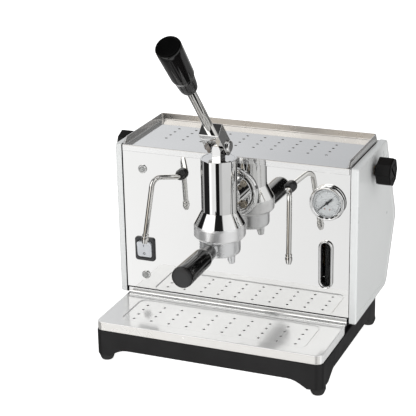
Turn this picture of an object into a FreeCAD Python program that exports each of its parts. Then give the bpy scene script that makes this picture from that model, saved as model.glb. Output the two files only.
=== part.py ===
"""Spring-lever espresso machine: a parametric assembly, one solid piece per node.

Frame: +Z up, Z = 0 on the table, +X to the right of someone facing the machine, +Y to its back.
Every piece is drawn with Y = 0 on the front panel's face and then set back by panel_y,
which puts the origin under the middle of the machine's bounding box.
"""
import FreeCAD, Part
import math
import os

import Sketcher
from FreeCAD import Placement, Rotation, Vector

# alias: (millimetres or count, what it measures)
DIMENSIONS = {
    "panel_y": (12.04, "front panel's face, back from the origin"),
    # case
    "case_half": (165.0, "half the width between the side panels"),
    "side_depth": (10.0, "thickness of a side panel pan"),
    "sheet": (1.5, "sheet steel of the case"),
    "case_bottom": (59.4, "underside of the side panels"),
    "case_top": (281.0, "top of the side panels and of the cup tray's floor"),
    "rear_foot_y": (150.0, "side panel's lower rear corner"),
    "rear_vertex_y": (195.0, "side panel's rearmost corner"),
    "rear_vertex_z": (154.0, "height of that corner"),
    "rear_top_y": (139.0, "side panel's upper rear corner"),
    "panel_half": (164.4, "half the front panel's width"),
    "panel_bottom": (69.0, "front panel's lower edge"),
    "panel_top": (279.8, "front panel's upper edge, behind the cup tray's lip"),
    # base
    "base_half": (163.0, "half the base's width"),
    "base_front": (-110.0, "base's front face"),
    "base_back": (148.0, "base's back face"),
    "base_foot": (11.0, "underside of the base's corners"),
    "base_top": (47.5, "top of the base's deck"),
    "base_wall": (6.0, "base's wall"),
    "arch_top": (22.0, "crown of the arches between the feet"),
    "foot_x": (153.0, "foot's distance from the middle"),
    "foot_front_y": (-95.0, "front feet"),
    "foot_back_y": (137.0, "rear feet"),
    # trays
    "tray_sheet": (1.2, "stainless sheet of the trays"),
    "tray_half": (163.0, "half the cup tray's width over its rims"),
    "tray_back": (132.0, "cup tray's back rim"),
    "tray_rim": (290.0, "top of the cup tray's rims"),
    "tray_lip": (272.0, "lower edge of the cup tray's front lip"),
    "cover_half": (162.0, "half the drip cover's width"),
    "cover_front": (-109.0, "drip cover's front edge"),
    "cover_back": (-9.9, "drip cover's back edge"),
    "cover_top": (60.3, "drip cover's surface"),
    "recess_half": (133.0, "half the perforated recess's width"),
    "recess_front": (-91.0, "recess's front edge"),
    "recess_back": (-19.5, "recess's back edge"),
    "recess_depth": (1.1, "depth of the recess"),
    "hole_radius": (1.9, "drain holes"),
    "hole_pitch_x": (26.0, "drain holes, side to side"),
    "hole_pitch_y": (15.4, "drain holes, front to back"),
    "tray_hole_y": (44.5, "front row of the cup tray's holes"),
    "cover_hole_y": (-80.7, "front row of the drip cover's holes"),
    # group
    "group_x": (2.5, "group's axis, right of the middle"),
    "group_y": (-56.0, "group's axis, in front of the panel"),
    "group_top": (296.0, "top of the group"),
    "group_radius": (24.0, "group's spring housing"),
    "bore_radius": (21.0, "cylinder bore"),
    "bell_top": (225.0, "where the bell starts to flare"),
    "rim_top": (206.0, "where the flare ends"),
    "rim_bottom": (187.0, "group's lower face"),
    "rim_radius": (34.6, "bell's rim"),
    "neck_z": (231.0, "height of the group's neck, the gauge and the flange ring"),
    "ring_radius": (34.0, "flange ring on the front panel"),
    "lug_groove": (31.4, "bayonet groove's radius"),
    "lug_reach": (30.4, "portafilter's lugs, from the axis"),
    # lever
    "pin_z": (313.0, "lever pin"),
    "pin_radius": (5.0, "lever pin's radius"),
    "pin_hole": (5.05, "running fit for the lever pin"),
    "tongue_width": (12.0, "piston rod's flat head, side to side"),
    "tongue_depth": (17.0, "piston rod's flat head, front to back"),
    "lever_lean": (42.2, "lever's lean from upright, degrees"),
    "fork_half": (13.75, "half the fork's width"),
    "fork_gap": (6.3, "half the gap between the fork's arms"),
    "fork_thick": (9.9, "half the fork's thickness"),
    "rod_radius": (6.0, "lever rod"),
    "grip_start": (133.0, "lever pin to the grip's lower end"),
    "grip_end": (223.67, "lever pin to the grip's upper end"),
    # portafilter
    "filter_bottom": (164.0, "portafilter's underside"),
    "filter_radius": (27.5, "portafilter's body"),
    "filter_rim": (198.3, "portafilter's rim"),
    "basket_radius": (23.5, "filter basket's outside"),
    "handle_z": (178.0, "portafilter handle's axis"),
    "handle_reach": (130.0, "group's axis to the handle's end"),
    # boiler
    "boiler_radius": (62.0, "boiler shell's outside"),
    "boiler_wall": (2.0, "boiler shell's wall"),
    "boiler_half": (112.0, "boiler's ends, from the middle"),
    "boiler_y": (80.0, "boiler's axis behind the panel"),
    "boiler_z": (181.0, "boiler's axis height"),
    # controls
    "gauge_x": (134.0, "pressure gauge's axis"),
    "glass_x": (132.0, "sight glass's axis"),
    "switch_x": (-134.0, "rocker switch's and pilot lamps' axis"),
    "switch_z": (129.5, "rocker switch's height"),
    "lamp_low_z": (90.0, "lower pilot lamp"),
    "lamp_high_z": (248.0, "upper pilot lamp"),
    "left_gland_x": (-75.0, "left wand's gland"),
    "right_gland_x": (82.0, "right wand's gland"),
    "gland_z": (247.0, "height of the wands' glands"),
    "wand_radius": (3.5, "wand tube"),
    "valve_y": (76.0, "valves' axis behind the panel"),
    "valve_z": (256.0, "valves' axis height"),
    "knob_start": (181.0, "valve knob's inner end"),
    "knob_end": (201.4, "valve knob's outer end"),
    "knob_radius": (19.8, "valve knob over its corners"),
}


class Size(float):
    """A length that also carries the spreadsheet expression it comes from."""

    def __new__(cls, value, text):
        size = float.__new__(cls, value)
        size.text = text
        return size

    def __add__(self, other):
        return Size(float(self) + float(other), f"({self.text} + {text_of(other)})")

    def __radd__(self, other):
        return Size(float(other) + float(self), f"({text_of(other)} + {self.text})")

    def __sub__(self, other):
        return Size(float(self) - float(other), f"({self.text} - {text_of(other)})")

    def __rsub__(self, other):
        return Size(float(other) - float(self), f"({text_of(other)} - {self.text})")

    def __mul__(self, other):
        return Size(float(self) * float(other), f"({self.text} * {text_of(other)})")

    __rmul__ = __mul__

    def __neg__(self):
        return Size(-float(self), f"(0 - {self.text})")


def text_of(number):
    """The expression text of a Size, or the digits of a plain number."""
    if isinstance(number, Size):
        return number.text
    return f"({float(number)!r})"


class Dimensions:
    """Every driving dimension as an attribute, bound to its cell in the sheet."""

    def __init__(self, doc):
        sheet = doc.addObject("Spreadsheet::Sheet", "Dims")
        for row, (alias, (value, meaning)) in enumerate(DIMENSIONS.items(), 1):
            sheet.set(f"A{row}", alias)
            sheet.set(f"B{row}", str(value))
            sheet.set(f"C{row}", meaning)
            sheet.setAlias(f"B{row}", alias)
            setattr(self, alias, Size(value, f"Dims.{alias}"))


doc = FreeCAD.newDocument("EspressoMachine")
dim = Dimensions(doc)
doc.recompute()
pieces = []

UP = Vector(0, 0, 1)
RIGHT = Vector(1, 0, 0)
BACK = Vector(0, 1, 0)


# ---------------------------------------------------------------- drawing tools

def bind(target, name, number):
    """Set a property, through an expression when the number comes from the sheet."""
    if isinstance(number, Size):
        target.setExpression(name, number.text)
    else:
        target.setExpression(name, repr(float(number)))


def place(piece, x=0, y=0, z=0, rotation=None):
    """Put a piece's own origin at a point of the panel frame."""
    piece.Placement = Placement(Vector(), rotation or Rotation())
    bind(piece, "Placement.Base.x", x)
    bind(piece, "Placement.Base.y", dim.panel_y + y)
    bind(piece, "Placement.Base.z", z)
    pieces.append(piece)
    return piece


def new_body(label):
    body = doc.addObject("PartDesign::Body", label)
    body.Label = label
    body.AllowCompound = True
    return body


def new_sketch(body, plane, offset=0):
    """A sketch on XY, XZ or YZ, moved along that plane's normal (+Z, -Y, +X)."""
    sketch = body.newObject("Sketcher::SketchObject", f"{body.Name}_sketch")
    base = [feature for feature in body.Origin.OriginFeatures if feature.Role == f"{plane}_Plane"]
    sketch.AttachmentSupport = [(base[0], "")]
    sketch.MapMode = "FlatFace"
    bind(sketch, "AttachmentOffset.Base.z", offset)
    return sketch


def hold(sketch, kind, geometry, point, number):
    """Fix one coordinate or the radius of a sketch element to a number."""
    if kind == "Radius":
        index = sketch.addConstraint(Sketcher.Constraint(kind, geometry, float(number)))
    else:
        index = sketch.addConstraint(Sketcher.Constraint(kind, -1, 1, geometry, point, float(number)))
    if isinstance(number, Size):
        name = f"k{index}"
        sketch.renameConstraint(index, name)
        sketch.setExpression(f"Constraints.{name}", number.text)


def polygon(sketch, points):
    first = sketch.GeometryCount
    count = len(points)
    for index, (x, y) in enumerate(points):
        x_end, y_end = points[(index + 1) % count]
        sketch.addGeometry(Part.LineSegment(Vector(x, y, 0), Vector(x_end, y_end, 0)), False)
    for index, (x, y) in enumerate(points):
        after = first + (index + 1) % count
        sketch.addConstraint(Sketcher.Constraint("Coincident", first + index, 2, after, 1))
        hold(sketch, "DistanceX", first + index, 1, x)
        hold(sketch, "DistanceY", first + index, 1, y)


def rectangle(sketch, left, right, low, high):
    polygon(sketch, [(left, low), (right, low), (right, high), (left, high)])


def circle(sketch, x, y, radius):
    index = sketch.GeometryCount
    sketch.addGeometry(Part.Circle(Vector(x, y, 0), UP, float(radius)), False)
    hold(sketch, "Radius", index, 0, radius)
    hold(sketch, "DistanceX", index, 3, x)
    hold(sketch, "DistanceY", index, 3, y)


def obround(sketch, x, low, high, radius):
    """An upright slot with round ends, from low to high over its ends."""
    first = sketch.GeometryCount
    top, bottom = high - radius, low + radius
    for y, start, end in ((top, 0, math.pi), (bottom, math.pi, 2 * math.pi)):
        arc = Part.Circle(Vector(x, y, 0), UP, float(radius))
        sketch.addGeometry(Part.ArcOfCircle(arc, start, end), False)
    for side, y_start, y_end in ((-1, top, bottom), (1, bottom, top)):
        edge = x + side * radius
        sketch.addGeometry(Part.LineSegment(Vector(edge, y_start, 0), Vector(edge, y_end, 0)), False)
    links = ((0, 2, 2, 1), (2, 2, 1, 1), (1, 2, 3, 1), (3, 2, 0, 1))
    for one, one_end, other, other_end in links:
        sketch.addConstraint(Sketcher.Constraint("Coincident", first + one, one_end, first + other, other_end))
    for index, y in ((first, top), (first + 1, bottom)):
        hold(sketch, "Radius", index, 0, radius)
        hold(sketch, "DistanceX", index, 3, x)
        hold(sketch, "DistanceY", index, 3, y)
        hold(sketch, "DistanceY", index, 1, y)
        hold(sketch, "DistanceY", index, 2, y)


def pad(body, sketch, length, back=False, midplane=False):
    feature = body.newObject("PartDesign::Pad", f"{body.Name}_pad")
    feature.Profile = sketch
    feature.Midplane = midplane
    feature.Reversed = back
    bind(feature, "Length", length)
    body.Tip = feature
    doc.recompute()
    return feature


def volume_of(body):
    return body.Tip.Shape.Volume if body.Tip else 0.0


def pocket(body, sketch, depth=None, back=False):
    """Cut a sketch to a depth, or right through both ways; it must remove something."""
    before = volume_of(body)
    feature = body.newObject("PartDesign::Pocket", f"{body.Name}_pocket")
    feature.Profile = sketch
    if depth is None:
        feature.Type = "ThroughAll"
        feature.Midplane = True
    else:
        feature.Reversed = back
        bind(feature, "Length", depth)
    body.Tip = feature
    doc.recompute()
    if not feature.Shape.Volume < before - 1e-6:
        raise RuntimeError(f"{body.Label}: a pocket cut nothing")
    return feature


def revolve(body, sketch, axis="V_Axis", cut=False):
    before = volume_of(body)
    kind = "PartDesign::Groove" if cut else "PartDesign::Revolution"
    feature = body.newObject(kind, f"{body.Name}_turn")
    feature.Profile = sketch
    feature.ReferenceAxis = (sketch, [axis])
    feature.Angle = 360
    body.Tip = feature
    doc.recompute()
    if cut and not feature.Shape.Volume < before - 1e-6:
        raise RuntimeError(f"{body.Label}: a groove cut nothing")
    return feature


def repeat(body, feature, sketch, runs):
    """Repeat a feature along the sketch's axes: runs holds (axis, total length, count)."""
    pattern = body.newObject("PartDesign::MultiTransform", f"{body.Name}_grid")
    pattern.Originals = [feature]
    steps = []
    for axis, length, count in runs:
        step = doc.addObject("PartDesign::LinearPattern", f"{body.Name}_row")
        step.Direction = (sketch, [axis])
        step.Occurrences = count
        bind(step, "Length", length)
        steps.append(step)
    pattern.Transformations = steps
    body.Tip = pattern
    doc.recompute()
    return pattern


def repeat_round(body, feature, axis, count):
    """Repeat a feature in a circle about one of the body's own axes."""
    pattern = body.newObject("PartDesign::PolarPattern", f"{body.Name}_ring")
    pattern.Originals = [feature]
    lines = [line for line in body.Origin.OriginFeatures if line.Role == f"{axis}_Axis"]
    pattern.Axis = (lines[0], [""])
    pattern.Angle = 360
    pattern.Occurrences = count
    body.Tip = pattern
    doc.recompute()
    return pattern


def blend_edges(body, size, wanted, kind="Fillet"):
    """Round or bevel every edge of the body that wanted(edge) accepts."""
    base = body.Tip
    names = [f"Edge{index}" for index, edge in enumerate(base.Shape.Edges, 1) if wanted(edge)]
    if not names:
        raise RuntimeError(f"{body.Label}: no edge to round")
    feature = body.newObject(f"PartDesign::{kind}", f"{body.Name}_{kind.lower()}")
    feature.Base = (base, names)
    bind(feature, "Radius" if kind == "Fillet" else "Size", size)
    body.Tip = feature
    doc.recompute()
    return feature


def straight_along(direction, check=lambda point: True):
    """Accept straight edges along a direction whose middle point passes a check."""
    def wanted(edge):
        if edge.Curve.TypeId != "Part::GeomLine":
            return False
        along = abs(edge.tangentAt(edge.FirstParameter).dot(direction)) > 0.999
        return along and check(edge.CenterOfMass)
    return wanted


def in_plane(axis, value):
    """Accept edges that lie wholly in the plane where one coordinate has a value."""
    def wanted(edge):
        box = edge.BoundBox
        low = getattr(box, f"{axis}Min")
        high = getattr(box, f"{axis}Max")
        return abs(low - value) < 1e-4 and abs(high - value) < 1e-4
    return wanted


def turned(label, outline, rounded=()):
    """A body turned about its own Z axis from (radius, height) points.

    rounded holds (height, fillet radius) pairs for circular edges to soften.
    """
    body = new_body(label)
    sketch = new_sketch(body, "XZ")
    polygon(sketch, outline)
    revolve(body, sketch)
    for height, size in rounded:
        blend_edges(body, size, in_plane("Z", height))
    return body


def tube_path(points, bend):
    """Straight runs between points, joined by tangent arcs of one radius."""
    route = [Vector(*point) for point in points]
    edges = []
    start = route[0]
    for before, corner, after in zip(route, route[1:], route[2:]):
        into = (corner - before).normalize()
        out = (after - corner).normalize()
        turn = into.getAngle(out)
        trim = bend * math.tan(turn / 2)
        first, last = corner - into * trim, corner + out * trim
        inward = (out - into).normalize()
        centre = corner + inward * (bend / math.cos(turn / 2))
        middle = centre - inward * bend
        edges.append(Part.LineSegment(start, first).toShape())
        edges.append(Part.Arc(first, middle, last).toShape())
        start = last
    edges.append(Part.LineSegment(start, route[-1]).toShape())
    return Part.Wire(edges)


def tube_shape(points, radius, bend, bore=0.0):
    """A round bar bent along the points, hollow when it has a bore."""
    path = tube_path(points, bend)
    direction = Vector(*points[1]) - Vector(*points[0])

    def swept(section_radius):
        ring = Part.Wire([Part.makeCircle(section_radius, Vector(*points[0]), direction)])
        return path.makePipeShell([ring], True, False)

    solid = swept(float(radius))
    return solid.cut(swept(bore)) if bore else solid


def shaped(label, shape, x=0, y=0, z=0):
    """A sub-part whose shape is computed directly, such as a bent tube or a spring."""
    piece = doc.addObject("Part::Feature", label)
    piece.Label = label
    piece.Shape = shape
    return place(piece, x, y, z)


# ---------------------------------------------------------------- base and case

def base_frame():
    """Moulded plinth: four walls with arches between the feet, under a deck."""
    body = new_body("base_frame")
    outline = new_sketch(body, "XY", dim.base_foot)
    rectangle(outline, -dim.base_half, dim.base_half, dim.base_front, dim.base_back)
    pad(body, outline, dim.base_top - dim.base_foot)
    blend_edges(body, 11, straight_along(UP))
    blend_edges(body, 1.5, in_plane("Z", dim.base_top))

    inside = new_sketch(body, "XY", dim.base_foot)
    wall = dim.base_wall
    rectangle(inside, wall - dim.base_half, dim.base_half - wall, dim.base_front + wall, dim.base_back - wall)
    deck = 3.5
    pocket(body, inside, dim.base_top - dim.base_foot - deck, back=True)

    basin = new_sketch(body, "XY", dim.base_top)
    rectangle(basin, -150, 150, -102, -15)
    pocket(body, basin, deck)

    front_arch = new_sketch(body, "XZ")
    polygon(front_arch, [(-144, dim.base_foot - 1), (-124, dim.arch_top), (124, dim.arch_top),
                         (144, dim.base_foot - 1)])
    pocket(body, front_arch)
    side_arch = new_sketch(body, "YZ")
    polygon(side_arch, [(-82, dim.base_foot - 1), (-60, dim.arch_top), (102, dim.arch_top),
                        (124, dim.base_foot - 1)])
    pocket(body, side_arch)
    for direction, radius, across in ((BACK, 34, lambda p: abs(p.x) < 130), (RIGHT, 10, lambda p: abs(p.x) > 150)):
        blend_edges(body, radius, straight_along(direction, lambda p: abs(p.z - dim.arch_top) < 0.01 and across(p)))

    posts = new_sketch(body, "XY", dim.base_foot)
    for x in (-dim.foot_x, dim.foot_x):
        for y in (dim.foot_front_y, dim.foot_back_y):
            circle(posts, x, y, 8)
    pad(body, posts, dim.base_top - dim.base_foot - 1)
    place(body)


def rubber_feet():
    """Four moulded feet screwed to the posts in the base's corners."""
    body = new_body("rubber_feet")
    sketch = new_sketch(body, "XZ")
    height = dim.base_foot
    polygon(sketch, [(0, 3), (4, 3), (4, 0), (7.6, 0), (8.4, 0.8), (10.9, 7.5), (10.6, height), (0, height)])
    foot = revolve(body, sketch)
    rows = new_sketch(body, "XY")
    circle(rows, 0, 0, 1)
    rows_y = dim.foot_back_y - dim.foot_front_y
    repeat(body, foot, rows, [("H_Axis", dim.foot_x * 2, 2), ("V_Axis", rows_y, 2)])
    place(body, -dim.foot_x, dim.foot_front_y, 0)


def chassis_pan():
    """Inverted steel pan between the base's deck and the case, which carries the boiler."""
    body = new_body("chassis_pan")
    outline = new_sketch(body, "XY", dim.base_top)
    rectangle(outline, -158, 158, 2.5, 146)
    height = dim.case_bottom - dim.base_top
    pad(body, outline, height)
    blend_edges(body, 9, straight_along(UP, lambda p: p.y > 100))
    inside = new_sketch(body, "XY", dim.base_top)
    rectangle(inside, -156.5, 156.5, 4, 144.5)
    pocket(body, inside, height - dim.sheet, back=True)
    ledge = new_sketch(body, "XY", dim.case_bottom)
    rectangle(ledge, -172, 172, 5, 143)
    pad(body, ledge, dim.sheet, back=True)
    vents = new_sketch(body, "XY", dim.case_bottom)
    rectangle(vents, -60, -57, 125, 139)
    slot = pocket(body, vents, 5)
    repeat(body, slot, vents, [("H_Axis", 117, 14)])
    place(body)


def side_outline(sketch, inset):
    """The case's side seen from the right: upright front, roof and a back that comes to a corner."""
    polygon(sketch, [
        (inset, dim.case_bottom + inset),
        (dim.rear_foot_y - inset, dim.case_bottom + inset),
        (dim.rear_vertex_y - inset, dim.rear_vertex_z),
        (dim.rear_top_y - inset, dim.case_top - inset),
        (inset, dim.case_top - inset),
    ])


def side_panel(label, side):
    """A pressed pan: an outer skin with a flange turned in all round."""
    body = new_body(label)
    outline = new_sketch(body, "YZ", dim.case_half * side)
    side_outline(outline, 0)
    pad(body, outline, dim.side_depth, back=side < 0)
    blend_edges(body, 16, straight_along(RIGHT, lambda p: p.y > 100 and p.z < 250))
    blend_edges(body, 6, straight_along(RIGHT, lambda p: p.y > 100 and p.z > 250))
    blend_edges(body, 3, straight_along(RIGHT, lambda p: p.y < 1))
    outer_face = side * (dim.case_half + dim.side_depth)
    blend_edges(body, 3, in_plane("X", outer_face))
    open_face = side * dim.case_half
    inside = new_sketch(body, "YZ", open_face)
    side_outline(inside, dim.sheet)
    pocket(body, inside, dim.side_depth - dim.sheet, back=side > 0)
    stem_hole = new_sketch(body, "YZ", open_face)
    circle(stem_hole, dim.valve_y, dim.valve_z, 7)
    pocket(body, stem_hole)
    place(body)


def front_panel():
    """Polished face plate with flanges turned back at its top and bottom."""
    body = new_body("front_panel")
    plate = new_sketch(body, "XZ")
    rectangle(plate, -dim.panel_half, dim.panel_half, dim.panel_bottom, dim.panel_top)
    pad(body, plate, dim.sheet, back=True)
    for low in (dim.panel_bottom, dim.panel_top - dim.sheet):
        flange = new_sketch(body, "XZ")
        rectangle(flange, -dim.panel_half, dim.panel_half, low, low + dim.sheet)
        pad(body, flange, 12, back=True)

    holes = new_sketch(body, "XZ")
    circle(holes, dim.group_x, dim.neck_z, 26.5)
    circle(holes, dim.gauge_x, dim.neck_z, 22.4)
    circle(holes, dim.switch_x, dim.lamp_low_z, 4.6)
    circle(holes, dim.switch_x, dim.lamp_high_z, 4.6)
    circle(holes, dim.left_gland_x, dim.gland_z, 5.4)
    circle(holes, dim.right_gland_x, dim.gland_z, 5.4)
    obround(holes, dim.glass_x, 109.5, 174.8, 8.2)
    rectangle(holes, dim.switch_x - 13, dim.switch_x + 13, dim.switch_z - 15.6, dim.switch_z + 15.6)
    pocket(body, holes)
    place(body)


def rear_panel():
    """Folded sheet that closes the back along the side panels' rear edges."""
    body = new_body("rear_panel")
    section = new_sketch(body, "YZ")
    inset, thick = 2.2, 1.2
    foot_y, vertex_y, top_y = dim.rear_foot_y - inset, dim.rear_vertex_y - inset, dim.rear_top_y - inset
    polygon(section, [
        (foot_y, dim.case_bottom), (vertex_y, dim.rear_vertex_z), (top_y, dim.panel_top), (122, dim.panel_top),
        (122, dim.panel_top - thick), (top_y - thick, dim.panel_top - thick), (vertex_y - thick, dim.rear_vertex_z),
        (foot_y - thick, dim.case_bottom),
    ])
    pad(body, section, dim.case_half * 2 - 1.6, midplane=True)

    inlet = new_sketch(body, "XZ")
    circle(inlet, -110, 88, 7.2)
    pocket(body, inlet, 400)
    louvre = new_sketch(body, "XZ")
    rectangle(louvre, -84, -80, 190, 250)
    slot = pocket(body, louvre, 400)
    repeat(body, slot, louvre, [("H_Axis", 164, 12)])
    place(body)


def front_sill():
    """Bent strip that bridges the step between the drip tray and the front panel."""
    body = new_body("front_sill")
    section = new_sketch(body, "YZ")
    polygon(section, [(-9.2, dim.base_top), (-8, dim.base_top), (-8, 58.2), (1.4, 58.2), (1.4, 68.3),
                      (0.2, 68.3), (0.2, 59.4), (-9.2, 59.4)])
    pad(body, section, dim.cover_half * 2, midplane=True)
    place(body)


# ---------------------------------------------------------------- trays

def drain_holes(body, start_y, height):
    """Forty drain holes in ten columns and four rows, centred side to side."""
    sketch = new_sketch(body, "XY", height)
    circle(sketch, dim.hole_pitch_x * -4.5, start_y, dim.hole_radius)
    hole = pocket(body, sketch, 4)
    repeat(body, hole, sketch, [("H_Axis", dim.hole_pitch_x * 9, 10), ("V_Axis", dim.hole_pitch_y * 3, 4)])


def cup_tray():
    """Lift-off roof that warms cups: perforated floor, rims on three sides and a front lip."""
    body = new_body("cup_tray")
    thick = dim.tray_sheet
    lip = -1.2
    block = new_sketch(body, "XY", dim.tray_lip)
    rectangle(block, -dim.tray_half, dim.tray_half, lip, dim.tray_back)
    pad(body, block, dim.tray_rim - dim.tray_lip)

    above = new_sketch(body, "XY", dim.tray_rim)
    rectangle(above, thick - dim.tray_half, dim.tray_half - thick, -5, dim.tray_back - thick)
    pocket(body, above, dim.tray_rim - dim.case_top)
    below = new_sketch(body, "XY", dim.tray_lip)
    rectangle(below, -dim.tray_half - 5, dim.tray_half + 5, -0.1, dim.tray_back + 5)
    pocket(body, below, dim.case_top - dim.tray_lip - thick, back=True)
    rim_end = new_sketch(body, "YZ")
    polygon(rim_end, [(-3, dim.case_top), (lip, dim.case_top), (8, dim.tray_rim), (8, dim.tray_rim + 2),
                      (-3, dim.tray_rim + 2)])
    pocket(body, rim_end)
    drain_holes(body, dim.tray_hole_y, dim.case_top)
    place(body)


def drip_cover():
    """Lift-off drip tray cover with a sunk, perforated middle."""
    body = new_body("drip_cover")
    thick = dim.tray_sheet
    block = new_sketch(body, "XY", dim.base_top)
    rectangle(block, -dim.cover_half, dim.cover_half, dim.cover_front, dim.cover_back)
    pad(body, block, dim.cover_top - dim.base_top)
    blend_edges(body, 9, straight_along(UP, lambda p: p.y < -60))
    blend_edges(body, 1.6, in_plane("Z", dim.cover_top))

    under = new_sketch(body, "XY", dim.base_top)
    rectangle(under, 3 - dim.cover_half, dim.cover_half - 3, dim.cover_front + 3, dim.cover_back - thick)
    pocket(body, under, dim.cover_top - dim.base_top - thick, back=True)
    dish = new_sketch(body, "XY", dim.cover_top - thick)
    half = dim.recess_half + thick
    rectangle(dish, -half, half, dim.recess_front - thick, dim.recess_back + thick)
    pad(body, dish, dim.recess_depth, back=True)
    recess = new_sketch(body, "XY", dim.cover_top)
    rectangle(recess, -dim.recess_half, dim.recess_half, dim.recess_front, dim.recess_back)
    pocket(body, recess, dim.recess_depth)
    drain_holes(body, dim.cover_hole_y, dim.cover_top)
    place(body)


def drip_basin():
    """Pan that hangs in the base by its flange and catches the drips."""
    body = new_body("drip_basin")
    thick = dim.tray_sheet
    flange = new_sketch(body, "XY", dim.base_top)
    rectangle(flange, -156, 156, -105.4, -11.6)
    pad(body, flange, thick)
    floor = 24
    walls = new_sketch(body, "XY", floor)
    rectangle(walls, -143, 143, -100, -17)
    pad(body, walls, dim.base_top - floor)
    inside = new_sketch(body, "XY", dim.base_top + thick)
    rectangle(inside, -141.8, 141.8, -98.8, -18.2)
    pocket(body, inside, dim.base_top - floor)
    blend_edges(body, 6.8, straight_along(UP, lambda p: abs(p.x) < 142))
    blend_edges(body, 8, straight_along(UP, lambda p: abs(p.x) > 142 and p.z < 45))
    place(body)


# ---------------------------------------------------------------- boiler and pipework

def boiler_shell():
    """Horizontal brass boiler with a boss for the group and three on top."""
    body = new_body("boiler_shell")
    barrel = new_sketch(body, "XZ")
    rectangle(barrel, -dim.boiler_half, dim.boiler_half, 0, dim.boiler_radius)
    revolve(body, barrel, "H_Axis")
    flange = new_sketch(body, "XZ")
    rectangle(flange, dim.boiler_half - 6, dim.boiler_half, 0, 70)
    revolve(body, flange, "H_Axis")

    group_rise = dim.neck_z - dim.boiler_z
    group_boss = new_sketch(body, "XZ", dim.boiler_y - 12.2)
    circle(group_boss, dim.group_x, group_rise, 24)
    pad(body, group_boss, 50, back=True)
    bosses = new_sketch(body, "XY", 40)
    circle(bosses, -45, 0, 17)
    circle(bosses, 45, 0, 9)
    circle(bosses, -95, dim.valve_y - dim.boiler_y, 6)
    circle(bosses, 95, dim.valve_y - dim.boiler_y, 6)
    boss_top = 65
    pad(body, bosses, boss_top - 40)

    cavity = new_sketch(body, "XZ")
    wall = dim.boiler_wall
    rectangle(cavity, wall - dim.boiler_half, dim.boiler_half + 1, 0, dim.boiler_radius - wall)
    revolve(body, cavity, "H_Axis", cut=True)
    group_bore = new_sketch(body, "XZ", dim.boiler_y - 12.2)
    circle(group_bore, dim.group_x, group_rise, 7)
    pocket(body, group_bore, 60)
    bores = new_sketch(body, "XY", boss_top)
    circle(bores, -45, 0, 12)
    circle(bores, 45, 0, 4)
    circle(bores, -95, dim.valve_y - dim.boiler_y, 3)
    circle(bores, 95, dim.valve_y - dim.boiler_y, 3)
    pocket(body, bores, 30)
    place(body, 0, dim.boiler_y, dim.boiler_z)


def boiler_end_plate():
    """Bolted end plate that carries the heating element."""
    body = turned("boiler_end_plate", [(0, 0), (70, 0), (70, 6), (0, 6)], [(6, 1)])
    place(body, dim.boiler_half, dim.boiler_y, dim.boiler_z, Rotation(UP, RIGHT))


def flange_bolts():
    """Six hexagon bolts round the boiler's end plate and four round the group's flange."""
    def bolt(x, y, z, direction):
        corners = [math.radians(60 * corner) for corner in range(7)]
        head = Part.makePolygon([Vector(4.6 * math.cos(angle), 4.6 * math.sin(angle), 0) for angle in corners])
        solid = Part.Face(head).extrude(Vector(0, 0, 4))
        bevel = Part.makeCone(5.4, 3.8, 1.6, Vector(0, 0, 2.4))
        solid = solid.common(Part.makeCylinder(5.4, 2.4).fuse(bevel))
        solid.Placement = Placement(Vector(x, y, z), Rotation(UP, direction))
        return solid

    bolts = []
    plate_face = dim.boiler_half + 6
    for number in range(6):
        angle = math.radians(60 * number + 30)
        y = dim.boiler_y + 63.5 * math.cos(angle)
        z = dim.boiler_z + 63.5 * math.sin(angle)
        bolts.append(bolt(plate_face, y, z, RIGHT))
    for number in range(4):
        angle = math.radians(90 * number + 45)
        x = dim.group_x + 21.4 * math.cos(angle)
        z = dim.neck_z + 21.4 * math.sin(angle)
        bolts.append(bolt(x, -6, z, -BACK))
    shaped("flange_bolts", Part.Compound(bolts))


def heating_element():
    """Hairpin immersion heater in the water, fixed to the end plate."""
    start = dim.boiler_half - 0.0
    route = [(start, -18, 0), (-95, -18, 0), (-95, 18, 0), (start, 18, 0)]
    shaped("heating_element", tube_shape(route, 4, 12), 0, dim.boiler_y, dim.boiler_z - 34)


def boiler_stands():
    """Two saddles that hold the boiler up off the chassis."""
    blocks = []
    for number, x in enumerate((-70, 70)):
        box = doc.addObject("Part::Box", f"stand_block_{number}")
        bind(box, "Length", 20)
        bind(box, "Width", 84)
        bind(box, "Height", dim.boiler_z - 40 - dim.case_bottom)
        bind(box, "Placement.Base.x", x - 10)
        bind(box, "Placement.Base.y", dim.boiler_y - 42)
        bind(box, "Placement.Base.z", dim.case_bottom)
        blocks.append(box)
    both = doc.addObject("Part::Compound", "stand_blocks")
    both.Links = blocks
    seat = doc.addObject("Part::Cylinder", "stand_seat")
    bind(seat, "Radius", dim.boiler_radius + 0.3)
    bind(seat, "Height", 200)
    seat.Placement = Placement(Vector(), Rotation(UP, RIGHT))
    bind(seat, "Placement.Base.x", -100)
    bind(seat, "Placement.Base.y", dim.boiler_y)
    bind(seat, "Placement.Base.z", dim.boiler_z)
    stands = doc.addObject("Part::Cut", "boiler_stands")
    stands.Label = "boiler_stands"
    stands.Base = both
    stands.Tool = seat
    doc.recompute()
    place(stands)


def safety_valve():
    """Spring-loaded relief valve on the boiler's top."""
    body = turned("safety_valve", [(0, 0), (7, 0), (7, 6), (5.5, 6), (5.5, 17), (4, 20), (0, 20)])
    place(body, 45, dim.boiler_y, dim.boiler_z + 65)


def filler_cap():
    """Screw cap under the cup tray, through which the boiler is filled."""
    body = turned("filler_cap", [(0, -10), (11.6, -10), (11.6, 0.3), (17.5, 0.3), (17.5, 11), (15, 13), (0, 13)])
    flutes = new_sketch(body, "XY", 0)
    circle(flutes, 19.2, 0, 3)
    flute = pocket(body, flutes, 14, back=True)
    repeat_round(body, flute, "Z", 12)
    place(body, -45, dim.boiler_y, dim.boiler_z + 65)


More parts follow.
